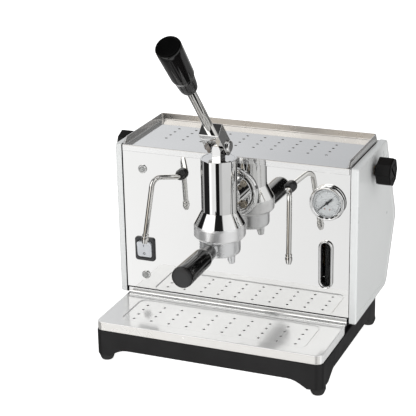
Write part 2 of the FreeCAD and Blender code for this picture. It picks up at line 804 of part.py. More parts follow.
def pressurestat():
    """Pressure switch that holds the boiler's pressure, in a moulded case."""
    body = new_body("pressurestat")
    case = new_sketch(body, "XY")
    rectangle(case, -17, 17, -20, 20)
    pad(body, case, 42)
    blend_edges(body, 3, straight_along(UP))
    stem = new_sketch(body, "XY", 42)
    circle(stem, 0, 0, 6)
    pad(body, stem, 8)
    screw = new_sketch(body, "XZ", 20)
    circle(screw, 0, 21, 5)
    pad(body, screw, 3)
    place(body, -138, dim.boiler_y, dim.case_bottom)


def pipework():
    """Copper pipes: boiler to valves, valves to wands, and to the gauge, switch and sight glass."""
    boiler_y, boiler_z = float(dim.boiler_y), float(dim.boiler_z)
    valve_y, valve_z = float(dim.valve_y), float(dim.valve_z)
    gland_z, glass_x = float(dim.gland_z), float(dim.glass_x)
    end_face = dim.boiler_half + 6
    routes = []
    for side, gland_x in ((-1, dim.left_gland_x), (1, dim.right_gland_x)):
        boss = side * 95
        routes.append([(boss, valve_y, boiler_z + 65), (boss, valve_y, valve_z), (side * 128, valve_y, valve_z)])
        routes.append([(side * 140, valve_y - 10, valve_z), (side * 140, 34, valve_z),
                       (float(gland_x), 26, gland_z), (float(gland_x), 8.2, gland_z)])
    gauge = (float(dim.gauge_x), float(dim.neck_z))
    routes.append([(gauge[0], 24, gauge[1]), (gauge[0], 42, gauge[1]), (gauge[0], boiler_y, gauge[1] - 8),
                   (end_face, boiler_y, gauge[1] - 8)])
    routes.append([(-dim.boiler_half, boiler_y, 222), (-138, boiler_y, 222), (-138, boiler_y, dim.case_bottom + 50)])
    for fitting, tap in ((98, 145), (186, 200)):
        routes.append([(glass_x, 16.2, fitting), (glass_x, boiler_y, fitting), (glass_x, boiler_y, tap),
                       (end_face, boiler_y, tap)])
    pipes = [tube_shape(route, 3, 5.5) for route in routes]
    shaped("pipework", Part.Compound(pipes))


def mains_gland():
    """Clamping gland for the mains lead, square to the lower slope of the rear panel."""
    slope = Vector(0, dim.rear_vertex_y - dim.rear_foot_y, dim.rear_vertex_z - dim.case_bottom)
    normal = Vector(0, slope.z, -slope.y).normalize()
    body = turned("mains_gland", [(4, -10), (6.5, -10), (6.5, 0), (10, 0), (10, 5), (8, 6), (7, 14), (4, 14)])
    rise = 88 - dim.case_bottom
    run = rise * (slope.y / slope.z)
    place(body, -110, dim.rear_foot_y + run - 2.2, 88, Rotation(UP, normal))


# ---------------------------------------------------------------- gauge, sight glass, switch, lamps

def facing_front(body, x, z, y=0):
    """Place a piece turned about its own Z so that its Z points out of the front panel."""
    place(body, x, y, z, Rotation(RIGHT, 90))


def gauge():
    """Boiler pressure gauge: case with a rolled bezel, dial, glass and needle."""
    case = turned("gauge_case", [(0, -24), (8, -24), (8, -18), (22, -18), (22, 0), (24, 0), (24, 6), (22.5, 8.5),
                                 (19.6, 8.5), (19.6, 7.8), (20.6, 7.8), (20.6, 2.2), (0, 2.2)])
    facing_front(case, dim.gauge_x, dim.neck_z)
    dial = turned("gauge_dial", [(1.2, 2.2), (20.2, 2.2), (20.2, 3.0), (1.2, 3.0)])
    facing_front(dial, dim.gauge_x, dim.neck_z)
    glass = turned("gauge_glass", [(0, 6.6), (20.2, 6.6), (20.2, 7.8), (0, 7.8)])
    facing_front(glass, dim.gauge_x, dim.neck_z)

    needle = turned("gauge_needle", [(0, 2.4), (0.8, 2.4), (0.8, 3.3), (2.2, 3.3), (2.2, 5.6), (0, 5.6)])
    pointer = new_sketch(needle, "XY", 4.2)
    polygon(pointer, [(-0.9, 0), (-0.7, -15.5), (0, -17.5), (0.7, -15.5), (0.9, 0), (1.6, 9), (-1.6, 9)])
    pad(needle, pointer, 0.8)
    rest_angle = -49
    turn = Rotation(RIGHT, 90).multiply(Rotation(UP, rest_angle))
    place(needle, dim.gauge_x, 0, dim.neck_z, turn)


def sight_glass():
    """Water level glass: chrome bezel, glass tube and the two brass fittings that hold it."""
    bezel = new_body("sight_glass_bezel")
    rim = new_sketch(bezel, "XZ")
    obround(rim, 0, 107.5, 176.8, 10)
    pad(bezel, rim, 4)
    collar = new_sketch(bezel, "XZ")
    obround(collar, 0, 109.7, 174.6, 8)
    pad(bezel, collar, 5.5, back=True)
    window = new_sketch(bezel, "XZ")
    obround(window, 0, 111.2, 173.1, 6.4)
    pocket(bezel, window)
    blend_edges(bezel, 1.5, in_plane("Y", -4))
    place(bezel, dim.glass_x)

    tube = turned("sight_glass_tube", [(3.2, 104), (4.6, 104), (4.6, 180), (3.2, 180)])
    place(tube, dim.glass_x, 10.8, 0)

    fittings = new_body("sight_glass_fittings")
    for low, high in ((92, 104), (180, 192)):
        block = new_sketch(fittings, "XY", low)
        rectangle(block, -7, 7, 4.2, 16.2)
        pad(fittings, block, high - low)
    place(fittings, dim.glass_x)


def power_switch():
    """Mains rocker switch: a moulded housing that snaps into the panel, and its rocker."""
    housing = new_body("power_switch_housing")
    bezel = new_sketch(housing, "XZ")
    rectangle(bezel, -15, 15, -17.5, 17.5)
    pad(housing, bezel, 3)
    blend_edges(housing, 4, straight_along(BACK))
    shell = new_sketch(housing, "XZ")
    rectangle(shell, -12.8, 12.8, -15.4, 15.4)
    pad(housing, shell, 20, back=True)
    well = new_sketch(housing, "XZ", 3)
    rectangle(well, -11.3, 11.3, -14.2, 14.2)
    pocket(housing, well, 16)
    blend_edges(housing, 1.2, in_plane("Y", -3))
    place(housing, dim.switch_x, 0, dim.switch_z)

    rocker = new_body("power_switch_rocker")
    side_view = new_sketch(rocker, "YZ")
    polygon(side_view, [(2, -11.6), (7, -5), (7, 5), (2, 11.6), (-6.6, 11.9), (-4.6, 0), (-3.2, -11.9)])
    pad(rocker, side_view, 21.6, midplane=True)
    blend_edges(rocker, 1, straight_along(RIGHT, lambda p: p.y < -3 and abs(p.z) > 5))
    place(rocker, dim.switch_x, 0, dim.switch_z)


def pilot_lamps():
    """Two identical indicator lamps, one above and one below the switch."""
    body = turned("pilot_lamps", [(0, -14), (4.2, -14), (4.2, 0), (6.1, 0), (6.1, 1.6), (5, 2.6), (4.4, 2.6),
                                  (3.2, 4.2), (0, 4.8)])
    lamp = body.Tip
    rows = new_sketch(body, "XY")
    circle(rows, 0, 0, 1)
    repeat(body, lamp, rows, [("V_Axis", dim.lamp_high_z - dim.lamp_low_z, 2)])
    facing_front(body, dim.switch_x, dim.lamp_low_z)


# ---------------------------------------------------------------- valves and wands

def wand_glands():
    """Two identical ball-seat glands where the wands leave the front panel."""
    body = turned("wand_glands", [(3.9, -7), (5, -7), (5, 0), (7.8, 0), (7.8, 4.2), (7.5, 5.8), (6.6, 9), (4.8, 10.8),
                                  (3.9, 10.8)])
    gland = body.Tip
    rows = new_sketch(body, "XY")
    circle(rows, 0, 0, 1)
    repeat(body, gland, rows, [("H_Axis", dim.right_gland_x - dim.left_gland_x, 2)])
    facing_front(body, dim.left_gland_x, dim.gland_z)


def wand(name, corner, end):
    """A bent tube that turns in its gland, with a nozzle screwed on its end."""
    start, straight = (0, 6, 0), (0, -13, 0)
    shaft = Vector(*end) - Vector(*corner)
    nozzle_length = 14
    joint = Vector(*end) - shaft.normalize() * nozzle_length
    gland_x = dim.left_gland_x if name == "left" else dim.right_gland_x
    tube = tube_shape([start, straight, corner, tuple(joint)], dim.wand_radius, 13, 2.3)
    shaped(f"{name}_wand", tube, gland_x, 0, dim.gland_z)
    nozzle = turned(f"{name}_wand_nozzle", [(0.8, 0), (4.6, 0), (4.9, 5), (3.4, 13), (2.6, 14), (0.8, 14)])
    place(nozzle, gland_x + joint.x, joint.y, dim.gland_z + joint.z, Rotation(UP, shaft))


def valve_bodies():
    """Two identical brass valves behind the side panels, left for one wand and right for the other."""
    body = new_body("valve_bodies")
    section = new_sketch(body, "XZ")
    skin = dim.case_half + dim.side_depth - dim.sheet
    polygon(section, [(128, 3.1), (128, 9), (150, 9), (150, 7), (164, 7), (164, 10), (skin, 10), (skin, 3.6),
                      (146, 3.6), (146, 3.1)])
    right = revolve(body, section, "H_Axis")
    mirror = body.newObject("PartDesign::Mirrored", "valve_pair")
    mirror.Originals = [right]
    planes = [feature for feature in body.Origin.OriginFeatures if feature.Role == "YZ_Plane"]
    mirror.MirrorPlane = (planes[0], [""])
    body.Tip = mirror
    doc.recompute()
    place(body, 0, dim.valve_y, dim.valve_z)


def valve_control(name, side):
    """A valve stem that screws into its body, and the eight-sided knob on it."""
    turn = Rotation(UP, RIGHT * side)
    stem = turned(f"{name}_valve_stem", [(0, 148), (3.5, 148), (3.5, 176), (3.5, dim.knob_start + 10),
                                         (0, dim.knob_start + 10)])
    place(stem, 0, dim.valve_y, dim.valve_z, turn)

    knob = new_body(f"{name}_valve_knob")
    face = new_sketch(knob, "XY", dim.knob_start)
    corners = [(dim.knob_radius * math.cos(math.radians(45 * number)),
                dim.knob_radius * math.sin(math.radians(45 * number))) for number in range(8)]
    polygon(face, corners)
    pad(knob, face, dim.knob_end - dim.knob_start)
    blend_edges(knob, 1.6, lambda edge: edge.CenterOfMass.z > dim.knob_start + 0.5)
    neck = new_sketch(knob, "XY", dim.knob_start)
    circle(neck, 0, 0, 9)
    pad(knob, neck, 4, back=True)
    socket = new_sketch(knob, "XY", dim.knob_start - 4)
    circle(socket, 0, 0, 3.5)
    pocket(knob, socket, 14, back=True)
    place(knob, 0, dim.valve_y, dim.valve_z, turn)


# ---------------------------------------------------------------- group

def on_group(piece, z=0, rotation=None):
    place(piece, dim.group_x, dim.group_y, z, rotation)


def group_body():
    """Chromed casting: spring housing, cylinder, flared bell with the bayonet, and the neck."""
    body = new_body("group_body")
    outside = new_sketch(body, "XZ")
    polygon(outside, [(0, dim.rim_bottom), (dim.rim_radius - 2, dim.rim_bottom), (dim.rim_radius, dim.rim_bottom + 3),
                      (dim.rim_radius, dim.rim_top - 1), (dim.rim_radius - 1.5, dim.rim_top + 1.5),
                      (dim.group_radius, dim.bell_top), (dim.group_radius, dim.group_top), (0, dim.group_top)])
    revolve(body, outside)
    neck = new_sketch(body, "XZ", 20)
    circle(neck, 0, dim.neck_z, 16.5)
    pad(body, neck, dim.group_y * -1 + 20, back=True)
    flange = new_sketch(body, "XZ", dim.group_y + 6)
    circle(flange, 0, dim.neck_z, 26)
    pad(body, flange, 18.2, back=True)

    inside = new_sketch(body, "XZ")
    mouth, seat, bore, cap = 28.6, 29.4, dim.bore_radius, 21.5
    polygon(inside, [(0, dim.rim_bottom - 1), (mouth, dim.rim_bottom - 1), (mouth, 191.4), (dim.lug_groove, 191.4),
                     (dim.lug_groove, 198.6), (seat, 198.6), (seat, 205), (bore, 205), (bore, 285.5), (cap, 285.5),
                     (cap, dim.group_top + 1), (0, dim.group_top + 1)])
    revolve(body, inside, cut=True)
    lug_ways = new_sketch(body, "XY", dim.rim_bottom - 1)
    way, reach, turn = 7.8, dim.lug_reach + 0.5, math.radians(-50)
    corners = [(reach, -way), (reach, way), (-reach, way), (-reach, -way)]
    polygon(lug_ways, [(x * math.cos(turn) - y * math.sin(turn), x * math.sin(turn) + y * math.cos(turn))
                       for x, y in corners])
    pocket(body, lug_ways, 5, back=True)
    water_way = new_sketch(body, "XZ", dim.group_y - 13)
    circle(water_way, 0, dim.neck_z, 5)
    pocket(body, water_way, -dim.group_y - 8, back=True)
    on_group(body)


def group_flange_ring():
    """Polished ring on the front panel round the group's flange."""
    ring = turned("group_flange_ring", [(27, 0), (dim.ring_radius, 0), (dim.ring_radius, 1.5), (32.5, 4.2),
                                        (29.5, 4.6), (27, 2.4)], [(1.5, 0.8)])
    facing_front(ring, dim.group_x, dim.neck_z)


def group_cap():
    """Threaded plug that closes the spring housing, slotted for the piston rod's flat head."""
    cap = turned("group_cap", [(0, 285.5), (21.4, 285.5), (21.4, dim.group_top), (0, dim.group_top)])
    slot = new_sketch(cap, "XY", dim.group_top)
    half_x, half_y = dim.tongue_width * 0.5 + 0.35, dim.tongue_depth * 0.5 + 0.35
    rectangle(slot, -half_x, half_x, -half_y, half_y)
    pocket(cap, slot)
    on_group(cap)


def group_gasket():
    gasket = turned("group_gasket", [(22.6, 199.5), (29.1, 199.5), (29.1, 205), (22.6, 205)])
    on_group(gasket)


def shower_screen():
    """Perforated cup that spreads the water over the coffee."""
    screen = turned("shower_screen", [(0, 200.6), (22.2, 200.6), (22.2, 205), (21.2, 205), (21.2, 201.5), (0, 201.5)])
    hole_sketch = new_sketch(screen, "XY", 200)
    for radius in (7, 12, 17):
        circle(hole_sketch, radius, 0, 0.8)
    holes = pocket(screen, hole_sketch, 3, back=True)
    repeat_round(screen, holes, "Z", 12)
    on_group(screen)


def piston():
    """Piston with two grooves, its seals, and the rod whose flat head carries the lever pin."""
    head = turned("piston", [(0, 206.5), (20.5, 206.5), (20.5, 209), (18.6, 209), (18.6, 212), (20.5, 212), (20.5, 217),
                             (18.6, 217), (18.6, 220), (20.5, 220), (20.5, 223), (6, 223), (6, 214), (0, 214)])
    on_group(head)
    seals = new_body("piston_seals")
    rings = new_sketch(seals, "XZ")
    for low in (209, 217):
        rectangle(rings, 18.6, dim.bore_radius - 0.05, low, low + 3)
    revolve(seals, rings)
    on_group(seals)

    rod = turned("piston_rod", [(0, 214), (6, 214), (6, 262), (0, 262)])
    flat = new_sketch(rod, "XY", 262)
    half_x, half_y = dim.tongue_width * 0.5, dim.tongue_depth * 0.5
    rectangle(flat, -half_x, half_x, -half_y, half_y)
    pad(rod, flat, dim.pin_z + 8.5 - 262)
    blend_edges(rod, 8.3, straight_along(RIGHT, lambda p: p.z > dim.pin_z))
    eye = new_sketch(rod, "YZ")
    circle(eye, 0, dim.pin_z, dim.pin_radius)
    pocket(rod, eye)
    on_group(rod)


def group_spring():
    """Main spring round the piston rod, from the piston to the cap."""
    wire, coil, low, high, turns = 2.0, 16.5, 225.1, 283.4, 8
    helix = Part.makeHelix((high - low) / turns, high - low, coil)
    helix.Placement = Placement(Vector(0, 0, low), Rotation())
    section = Part.Wire([Part.makeCircle(wire, Vector(coil, 0, low), BACK)])
    spring = Part.Wire(helix.Edges).makePipeShell([section], True, True)
    shaped("group_spring", spring, dim.group_x, dim.group_y)


# ---------------------------------------------------------------- lever

def on_lever(piece):
    """Place a piece drawn with its Z along the lever and its origin on the pin."""
    lean = Rotation(RIGHT, float(dim.lever_lean))
    place(piece, dim.group_x, dim.group_y, dim.pin_z, lean)


def lever_pin():
    pin = turned("lever_pin", [(0, -17.6), (7, -17.6), (8, -16.8), (8, -14.1), (dim.pin_radius, -14.1),
                               (dim.pin_radius, 14.1), (8, 14.1), (8, 16.8), (7, 17.6), (0, 17.6)])
    place(pin, dim.group_x, dim.group_y, dim.pin_z, Rotation(UP, RIGHT))


def lever_fork():
    """Forged fork: a solid block for the rod and two arms that straddle the rod's flat head."""
    fork = new_body("lever_fork")
    side_view = new_sketch(fork, "YZ")
    thick = dim.fork_thick
    polygon(side_view, [(-thick, -14.3), (thick, -14.3), (thick, 39.6), (-thick, 39.6)])
    pad(fork, side_view, dim.fork_half * 2, midplane=True)
    blend_edges(fork, 9.6, straight_along(RIGHT, lambda p: p.z < 0))
    blend_edges(fork, 1.2, lambda edge: edge.CenterOfMass.z > 39)
    gap = new_sketch(fork, "XZ")
    rectangle(gap, -dim.fork_gap, dim.fork_gap, -20, 27)
    pocket(fork, gap)
    eye = new_sketch(fork, "YZ")
    circle(eye, 0, 0, dim.pin_hole)
    pocket(fork, eye)
    socket = new_sketch(fork, "XY", 39.6)
    circle(socket, 0, 0, dim.rod_radius)
    pocket(fork, socket, 11)
    on_lever(fork)


def lever_rod():
    rod = turned("lever_rod", [(0, 28.6), (dim.rod_radius, 28.6), (dim.rod_radius, dim.grip_start + 40),
                               (0, dim.grip_start + 40)])
    on_lever(rod)


def lever_grip():
    """Tapered handle pushed over the rod, closed by a domed cap with a bright ring."""
    low, high = dim.grip_start, dim.grip_end
    grip = turned("lever_grip", [(dim.rod_radius, low), (8.6, low), (10.6, low + 1.6), (11.6, low + 6),
                                 (13.2, low + 26), (14.8, low + 31), (16.3, high - 8), (16.3, high - 1), (15.6, high),
                                 (0, high), (0, low + 40), (dim.rod_radius, low + 40)])
    on_lever(grip)
    cap = turned("lever_grip_cap", [(0, high), (14.6, high), (14.2, high + 0.9), (0, high + 0.9)])
    on_lever(cap)


# ---------------------------------------------------------------- portafilter

def portafilter_body():
    """Chromed brass cup with two bayonet lugs, a drain hole and a stud for the handle."""
    body = new_body("portafilter_body")
    outside = new_sketch(body, "XZ")
    low = dim.filter_bottom
    polygon(outside, [(0, low + 3), (22, low + 3), (22, low), (23.4, low), (26.2, low + 1.4),
                      (dim.filter_radius, low + 4.6), (dim.filter_radius, dim.filter_rim), (0, dim.filter_rim)])
    revolve(body, outside)
    lugs = new_sketch(body, "XY", 192)
    rectangle(lugs, -dim.lug_reach, dim.lug_reach, -7, 7)
    pad(body, lugs, 5)
    stud = new_sketch(body, "XZ", 20)
    circle(stud, 0, dim.handle_z, 6)
    pad(body, stud, 28)
    collar = new_sketch(body, "XZ", 20)
    circle(collar, 0, dim.handle_z, 7.6)
    pad(body, collar, 14.8)
    cup = new_sketch(body, "XZ")
    polygon(cup, [(0, 170), (20, 170), (24.2, 174), (24.2, dim.filter_rim + 1), (0, dim.filter_rim + 1)])
    revolve(body, cup, cut=True)
    drain = new_sketch(body, "XY", 175)
    circle(drain, 0, 0, 4)
    pocket(body, drain)
    on_group(body)


def filter_basket():
    """Pressed basket that hangs in the portafilter by its rim and holds the coffee."""
    rim = dim.filter_rim
    basket = turned("filter_basket", [(0, 175.4), (20.6, 175.4), (dim.basket_radius, 180), (dim.basket_radius, rim),
                                      (26.4, rim), (26.4, rim + 0.9), (22.7, rim + 0.9), (22.7, 180.4), (20.1, 176.2),
                                      (0, 176.2)])
    on_group(basket)


def twin_spout():
    """Plate let into the portafilter's underside, with two short spouts that split the coffee."""
    low, lean = dim.filter_bottom, 8
    plate = doc.addObject("Part::Cylinder", "spout_plate")
    plate.Placement = Placement(Vector(0, 0, low), Rotation())
    bind(plate, "Radius", 22)
    bind(plate, "Height", 3)
    groove = doc.addObject("Part::Box", "spout_groove")
    for part, name, number in ((groove, "Length", 36), (groove, "Width", 6), (groove, "Height", 2),
                               (groove, "Placement.Base.x", -18), (groove, "Placement.Base.y", -3),
                               (groove, "Placement.Base.z", low + 1.8)):
        bind(part, name, number)
    solids, ways = [plate], [groove]
    for side in (-1, 1):
        upright = Rotation(-BACK, side * lean)
        tip = doc.addObject("Part::Cone", "spout_tip")
        bore = doc.addObject("Part::Cylinder", "spout_bore")
        for part, drop in ((tip, 0), (bore, 1)):
            foot = upright.multVec(Vector(0, 0, -drop))
            part.Placement = Placement(Vector(side * 16.6, 0, low - 13.6) + foot, upright)
        for part, name, number in ((tip, "Radius1", 3.9), (tip, "Radius2", 6.2), (tip, "Height", 15),
                                   (bore, "Radius", 2.4), (bore, "Height", 17)):
            bind(part, name, number)
        solids.append(tip)
        ways.append(bore)
    outer = doc.addObject("Part::MultiFuse", "spout_solid")
    outer.Shapes = solids
    inner = doc.addObject("Part::MultiFuse", "spout_ways")
    inner.Shapes = ways
    spout = doc.addObject("Part::Cut", "twin_spout")
    spout.Label = "twin_spout"
    spout.Base, spout.Tool = outer, inner
    doc.recompute()
    on_group(spout)


def portafilter_handle():
    """Tapered black handle on the portafilter's stud, with a bright end cap."""
    reach = dim.handle_reach
    forward = Rotation(RIGHT, 90)
    handle = turned("portafilter_handle", [(6, 35), (8.4, 35), (9.8, 36.6), (10.6, 42), (12, 57), (13.7, 63),
                                           (14.5, reach - 12), (14.5, reach - 4), (14.1, reach - 1.6),
                                           (0, reach - 1.6), (0, 48), (6, 48)])
    place(handle, dim.group_x, dim.group_y, dim.handle_z, forward)
    cap = turned("portafilter_handle_cap", [(0, reach - 1.6), (13, reach - 1.6), (12.4, reach - 0.4),
                                            (9, reach), (0, reach)])
    place(cap, dim.group_x, dim.group_y, dim.handle_z, forward)


# ---------------------------------------------------------------- build, check and write

def build_all():
    for make in (base_frame, rubber_feet, chassis_pan, front_panel, rear_panel, front_sill,
                 cup_tray, drip_cover, drip_basin,
                 boiler_shell, boiler_end_plate, flange_bolts, heating_element, boiler_stands,
                 safety_valve, filler_cap, pressurestat, pipework, mains_gland,
                 gauge, sight_glass, power_switch, pilot_lamps, wand_glands, valve_bodies,
                 group_body, group_flange_ring, group_cap, group_gasket, shower_screen, piston,
                 group_spring, lever_pin, lever_fork, lever_rod, lever_grip,
                 portafilter_body, filter_basket, twin_spout, portafilter_handle):
        make()
    for name, side in (("left", -1), ("right", 1)):
        side_panel(f"{name}_side_panel", side)
        valve_control(name, side)
    wand("left", (-20.5, -50, 9), (-26, -72, -79))
    wand("right", (14.5, -46, 11), (21, -68, -82))


def check_and_write():
    doc.recompute()
    failed = [item.Name for item in doc.Objects if "Invalid" in item.State or "Error" in item.State]
    if failed:
        raise RuntimeError(f"these did not build: {failed}")
    os.makedirs("parts", exist_ok=True)
    whole = FreeCAD.BoundBox()
    bad = [piece.Label for piece in pieces if piece.Shape.isNull() or not piece.Shape.isValid()]
    if bad:
        raise RuntimeError(f"these have no valid shape: {bad}")
    for piece in pieces:
        whole.add(piece.Shape.BoundBox)
        piece.Shape.exportStep(f"parts/{piece.Label}.step")
    print(f"{len(pieces)} pieces, box {whole}")


build_all()
check_and_write()
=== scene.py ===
import math

import bmesh
import bpy
from mathutils import Matrix, Vector, geometry


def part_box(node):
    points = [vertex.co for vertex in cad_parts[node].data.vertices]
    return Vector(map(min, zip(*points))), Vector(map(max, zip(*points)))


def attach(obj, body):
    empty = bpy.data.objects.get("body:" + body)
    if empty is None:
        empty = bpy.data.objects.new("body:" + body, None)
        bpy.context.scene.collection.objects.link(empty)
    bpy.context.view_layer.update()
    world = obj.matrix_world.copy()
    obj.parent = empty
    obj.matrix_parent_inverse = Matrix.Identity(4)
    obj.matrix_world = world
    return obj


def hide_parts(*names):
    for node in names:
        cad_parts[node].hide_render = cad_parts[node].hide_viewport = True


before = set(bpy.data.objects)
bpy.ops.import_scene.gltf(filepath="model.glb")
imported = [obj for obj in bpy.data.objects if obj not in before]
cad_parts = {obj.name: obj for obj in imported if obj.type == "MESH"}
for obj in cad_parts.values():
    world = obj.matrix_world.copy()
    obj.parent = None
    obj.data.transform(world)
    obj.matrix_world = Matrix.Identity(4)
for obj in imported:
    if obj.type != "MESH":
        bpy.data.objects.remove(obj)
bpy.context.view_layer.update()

# ---------------------------------------------------------------- places, in mm from the front panel's face

PANEL_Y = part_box("front_panel")[0].y
TO_METRES = Matrix.Translation((0, PANEL_Y, 0)) @ Matrix.Scale(0.001, 4)
TO_MM = TO_METRES.inverted()


def box_mm(node):
    """A CAD node's lowest and highest corner, in mm from the front panel's face."""
    low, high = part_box(node)
    return TO_MM @ low, TO_MM @ high


def middle(node):
    low, high = box_mm(node)
    return (low + high) / 2


def shift(x, y, z):
    return Matrix.Translation((x, y, z))


def spin(degrees, axis):
    return Matrix.Rotation(math.radians(degrees), 4, axis)


FRONT = spin(90, "X")                       # turns a height into a distance out of the panel
ACROSS = spin(90, "Z") @ spin(90, "X")      # lays a section drawn as (y, z) along X

GROUP = middle("group_cap")
NECK_Z = middle("group_flange_ring").z
PIN = middle("lever_pin")
LEVER_LEAN = 42.2
GAUGE = middle("gauge_case")
GLASS = middle("sight_glass_bezel")
SWITCH = middle("power_switch_housing")
KNOB = middle("right_valve_knob")
LAMP_RADIUS = 6.1
LAMP_Z = (box_mm("pilot_lamps")[0].z + LAMP_RADIUS, box_mm("pilot_lamps")[1].z - LAMP_RADIUS)
GLAND_RADIUS = 7.8
GLAND_X = (box_mm("wand_glands")[0].x + GLAND_RADIUS, box_mm("wand_glands")[1].x - GLAND_RADIUS)
GLAND_Z = box_mm("wand_glands")[0].z + GLAND_RADIUS
SHEET = 1.2                                 # thickness of the pressed steel
FAR = 200                                   # reach of a cutter that goes right through

# ---------------------------------------------------------------- outlines


def rounded(points, closed=True, step=12):
    """A polyline with an arc at each corner given as (x, y, radius); step is the arc's degrees per piece."""
    out = []
    count = len(points)
    for index, (x, y, *bend) in enumerate(points):
        radius = bend[0] if bend else 0
        if radius <= 0 or (index in (0, count - 1) and not closed):
            out.append((x, y))
            continue
        before, after = points[index - 1], points[(index + 1) % count]
        corner = Vector((x, y))
        into = (Vector(before[:2]) - corner).normalized()
        out_of = (Vector(after[:2]) - corner).normalized()
        opening = into.angle(out_of, math.pi)
        if opening > math.pi - 0.01:
            out.append((x, y))
            continue
        reach = radius / math.tan(opening / 2)
        centre = corner + (into + out_of).normalized() * (radius / math.sin(opening / 2))
        first, last = corner + into * reach - centre, corner + out_of * reach - centre
        turn = first.angle_signed(last)
        pieces = max(2, int(abs(math.degrees(turn)) / step + 0.99))
        for piece in range(pieces + 1):
            angle = -turn * piece / pieces
            cos, sin = math.cos(angle), math.sin(angle)
            out.append((centre.x + first.x * cos - first.y * sin, centre.y + first.x * sin + first.y * cos))
    return out


def polar(radius, degrees):
    return radius * math.cos(math.radians(degrees)), radius * math.sin(math.radians(degrees))


def rectangle(x0, x1, y0, y1, radius=0.0, step=12):
    return rounded([(x0, y0, radius), (x1, y0, radius), (x1, y1, radius), (x0, y1, radius)], True, step)


def circle(x, y, radius, count=32):
    spots = (polar(radius, 360 * i / count) for i in range(count))
    return [(x + dx, y + dy) for dx, dy in spots]


def obround(x, low, high, radius, count=40):
    half = count // 2
    points = []
    for centre, start in ((high - radius, 0), (low + radius, 180)):
        for i in range(half + 1):
            dx, dy = polar(radius, start + 180 * i / half)
            points.append((x + dx, centre + dy))
    return points


def area_of(loop):
    """Positive if the loop runs anticlockwise."""
    return sum(a[0] * b[1] - b[0] * a[1] for a, b in zip(loop, loop[1:] + loop[:1])) / 2


def offset(loop, distance):
    """The loop moved in by a distance (out if it is negative), corner by corner."""
    sign = 1 if area_of(loop) > 0 else -1
    out = []
    for i, point in enumerate(loop):
        here = Vector(point)
        a = (here - Vector(loop[i - 1])).normalized()
        b = (Vector(loop[(i + 1) % len(loop)]) - here).normalized()
        mid = (a + b).normalized()
        inward = Vector((-mid.y, mid.x)) * sign
        stretch = 1 / max(0.5, math.sqrt(max(0.0, (1 + a.dot(b)) / 2)))
        out.append(tuple(here + inward * (distance * stretch)))
    return out


def raised(loop, z, inset=0.0):
    """A flat loop's points at a height, moved in by an inset."""
    return [(x, y, z) for x, y in (offset(loop, inset) if inset else loop)]


def quarter(radius, count=4):
    """(inset, rise) pairs round a quarter circle, from wall to cap; a single pair where the edge is sharp."""
    if not radius:
        return [(0, 0)]
    return [(radius - radius * math.cos(math.pi / 2 * i / count), radius * math.sin(math.pi / 2 * i / count))
            for i in range(count + 1)]


# ---------------------------------------------------------------- solids, as bmesh in mm


def add_loop(bm, points):
    return [bm.verts.new(point) for point in points]


def skin(bm, loops, close=True):
    """Quads from each loop to the next, all of one count."""
    for one, other in zip(loops, loops[1:]):
        count = len(one)
        for i in range(count if close else count - 1):
            j = (i + 1) % count
            bm.faces.new((one[i], one[j], other[j], other[i]))


def facing_out(bm):
    bmesh.ops.recalc_face_normals(bm, faces=bm.faces)
    return bm


def inside(point, loop):
    crossings = 0
    for a, b in zip(loop, loop[1:] + loop[:1]):
        if (a.y > point.y) != (b.y > point.y):
            if point.x < a.x + (point.y - a.y) / (b.y - a.y) * (b.x - a.x):
                crossings += 1
    return crossings % 2 == 1


def fill(bm, loops):
    """Triangles over a flat region: the first loop is its edge and the others are holes."""
    verts = [vert for loop in loops for vert in loop]
    spans = [max(v.co[i] for v in verts) - min(v.co[i] for v in verts) for i in range(3)]
    flat = spans.index(min(spans))
    u, v = [i for i in range(3) if i != flat]
    points = [Vector((vert.co[u], vert.co[v])) for vert in verts]
    owner, edges, start = [], [], 0
    for number, loop in enumerate(loops):
        count = len(loop)
        owner += [number] * count
        edges += [(start + i, start + (i + 1) % count) for i in range(count)]
        start += count
    spots, _, faces, sources, *_ = geometry.delaunay_2d_cdt(points, edges, [], 0, 1e-7)
    crossed = [tuple(spot) for spot, ids in zip(spots, sources) if not ids]
    if crossed:
        raise ValueError(f"loops cross at {crossed[:3]}")
    outlines = [[Vector((vert.co[u], vert.co[v])) for vert in loop] for loop in loops]
    for face in faces:
        corners = [sources[i][0] for i in face]
        owners = {owner[i] for i in corners}
        if len(owners) == 1:
            number = owners.pop()
            centre = sum((points[i] for i in corners), Vector((0, 0))) / 3
            if inside(centre, outlines[number]) != (number == 0):
                continue
        bm.faces.new([verts[i] for i in corners])


def slab(outer, low, high, holes=(), soft=(0, 0), count=3):
    """A plate between two heights, with holes right through; soft rounds its lower and upper edges."""
    bm = bmesh.new()
    stations = [(inset, low + soft[0] - rise) for inset, rise in reversed(quarter(soft[0], count))]
    stations += [(inset, high - soft[1] + rise) for inset, rise in quarter(soft[1], count)]
    caps_low, caps_high = [], []
    for index, loop in enumerate([outer, *holes]):
        sign = -1 if index else 1
        rings = [add_loop(bm, raised(loop, z, sign * inset)) for inset, z in stations]
        skin(bm, rings)
        caps_low.append(rings[0])
        caps_high.append(rings[-1])
    fill(bm, caps_low)
    fill(bm, caps_high)
    return facing_out(bm)


def stack(rings, wrap=False):
    """Skins rings of one count in turn, then caps both ends or joins the last ring to the first."""
    bm = bmesh.new()
    loops = [add_loop(bm, ring) for ring in rings]
    skin(bm, loops + loops[:1] if wrap else loops)
    if not wrap:
        bm.faces.new(loops[0])
        bm.faces.new(loops[-1])
    return facing_out(bm)


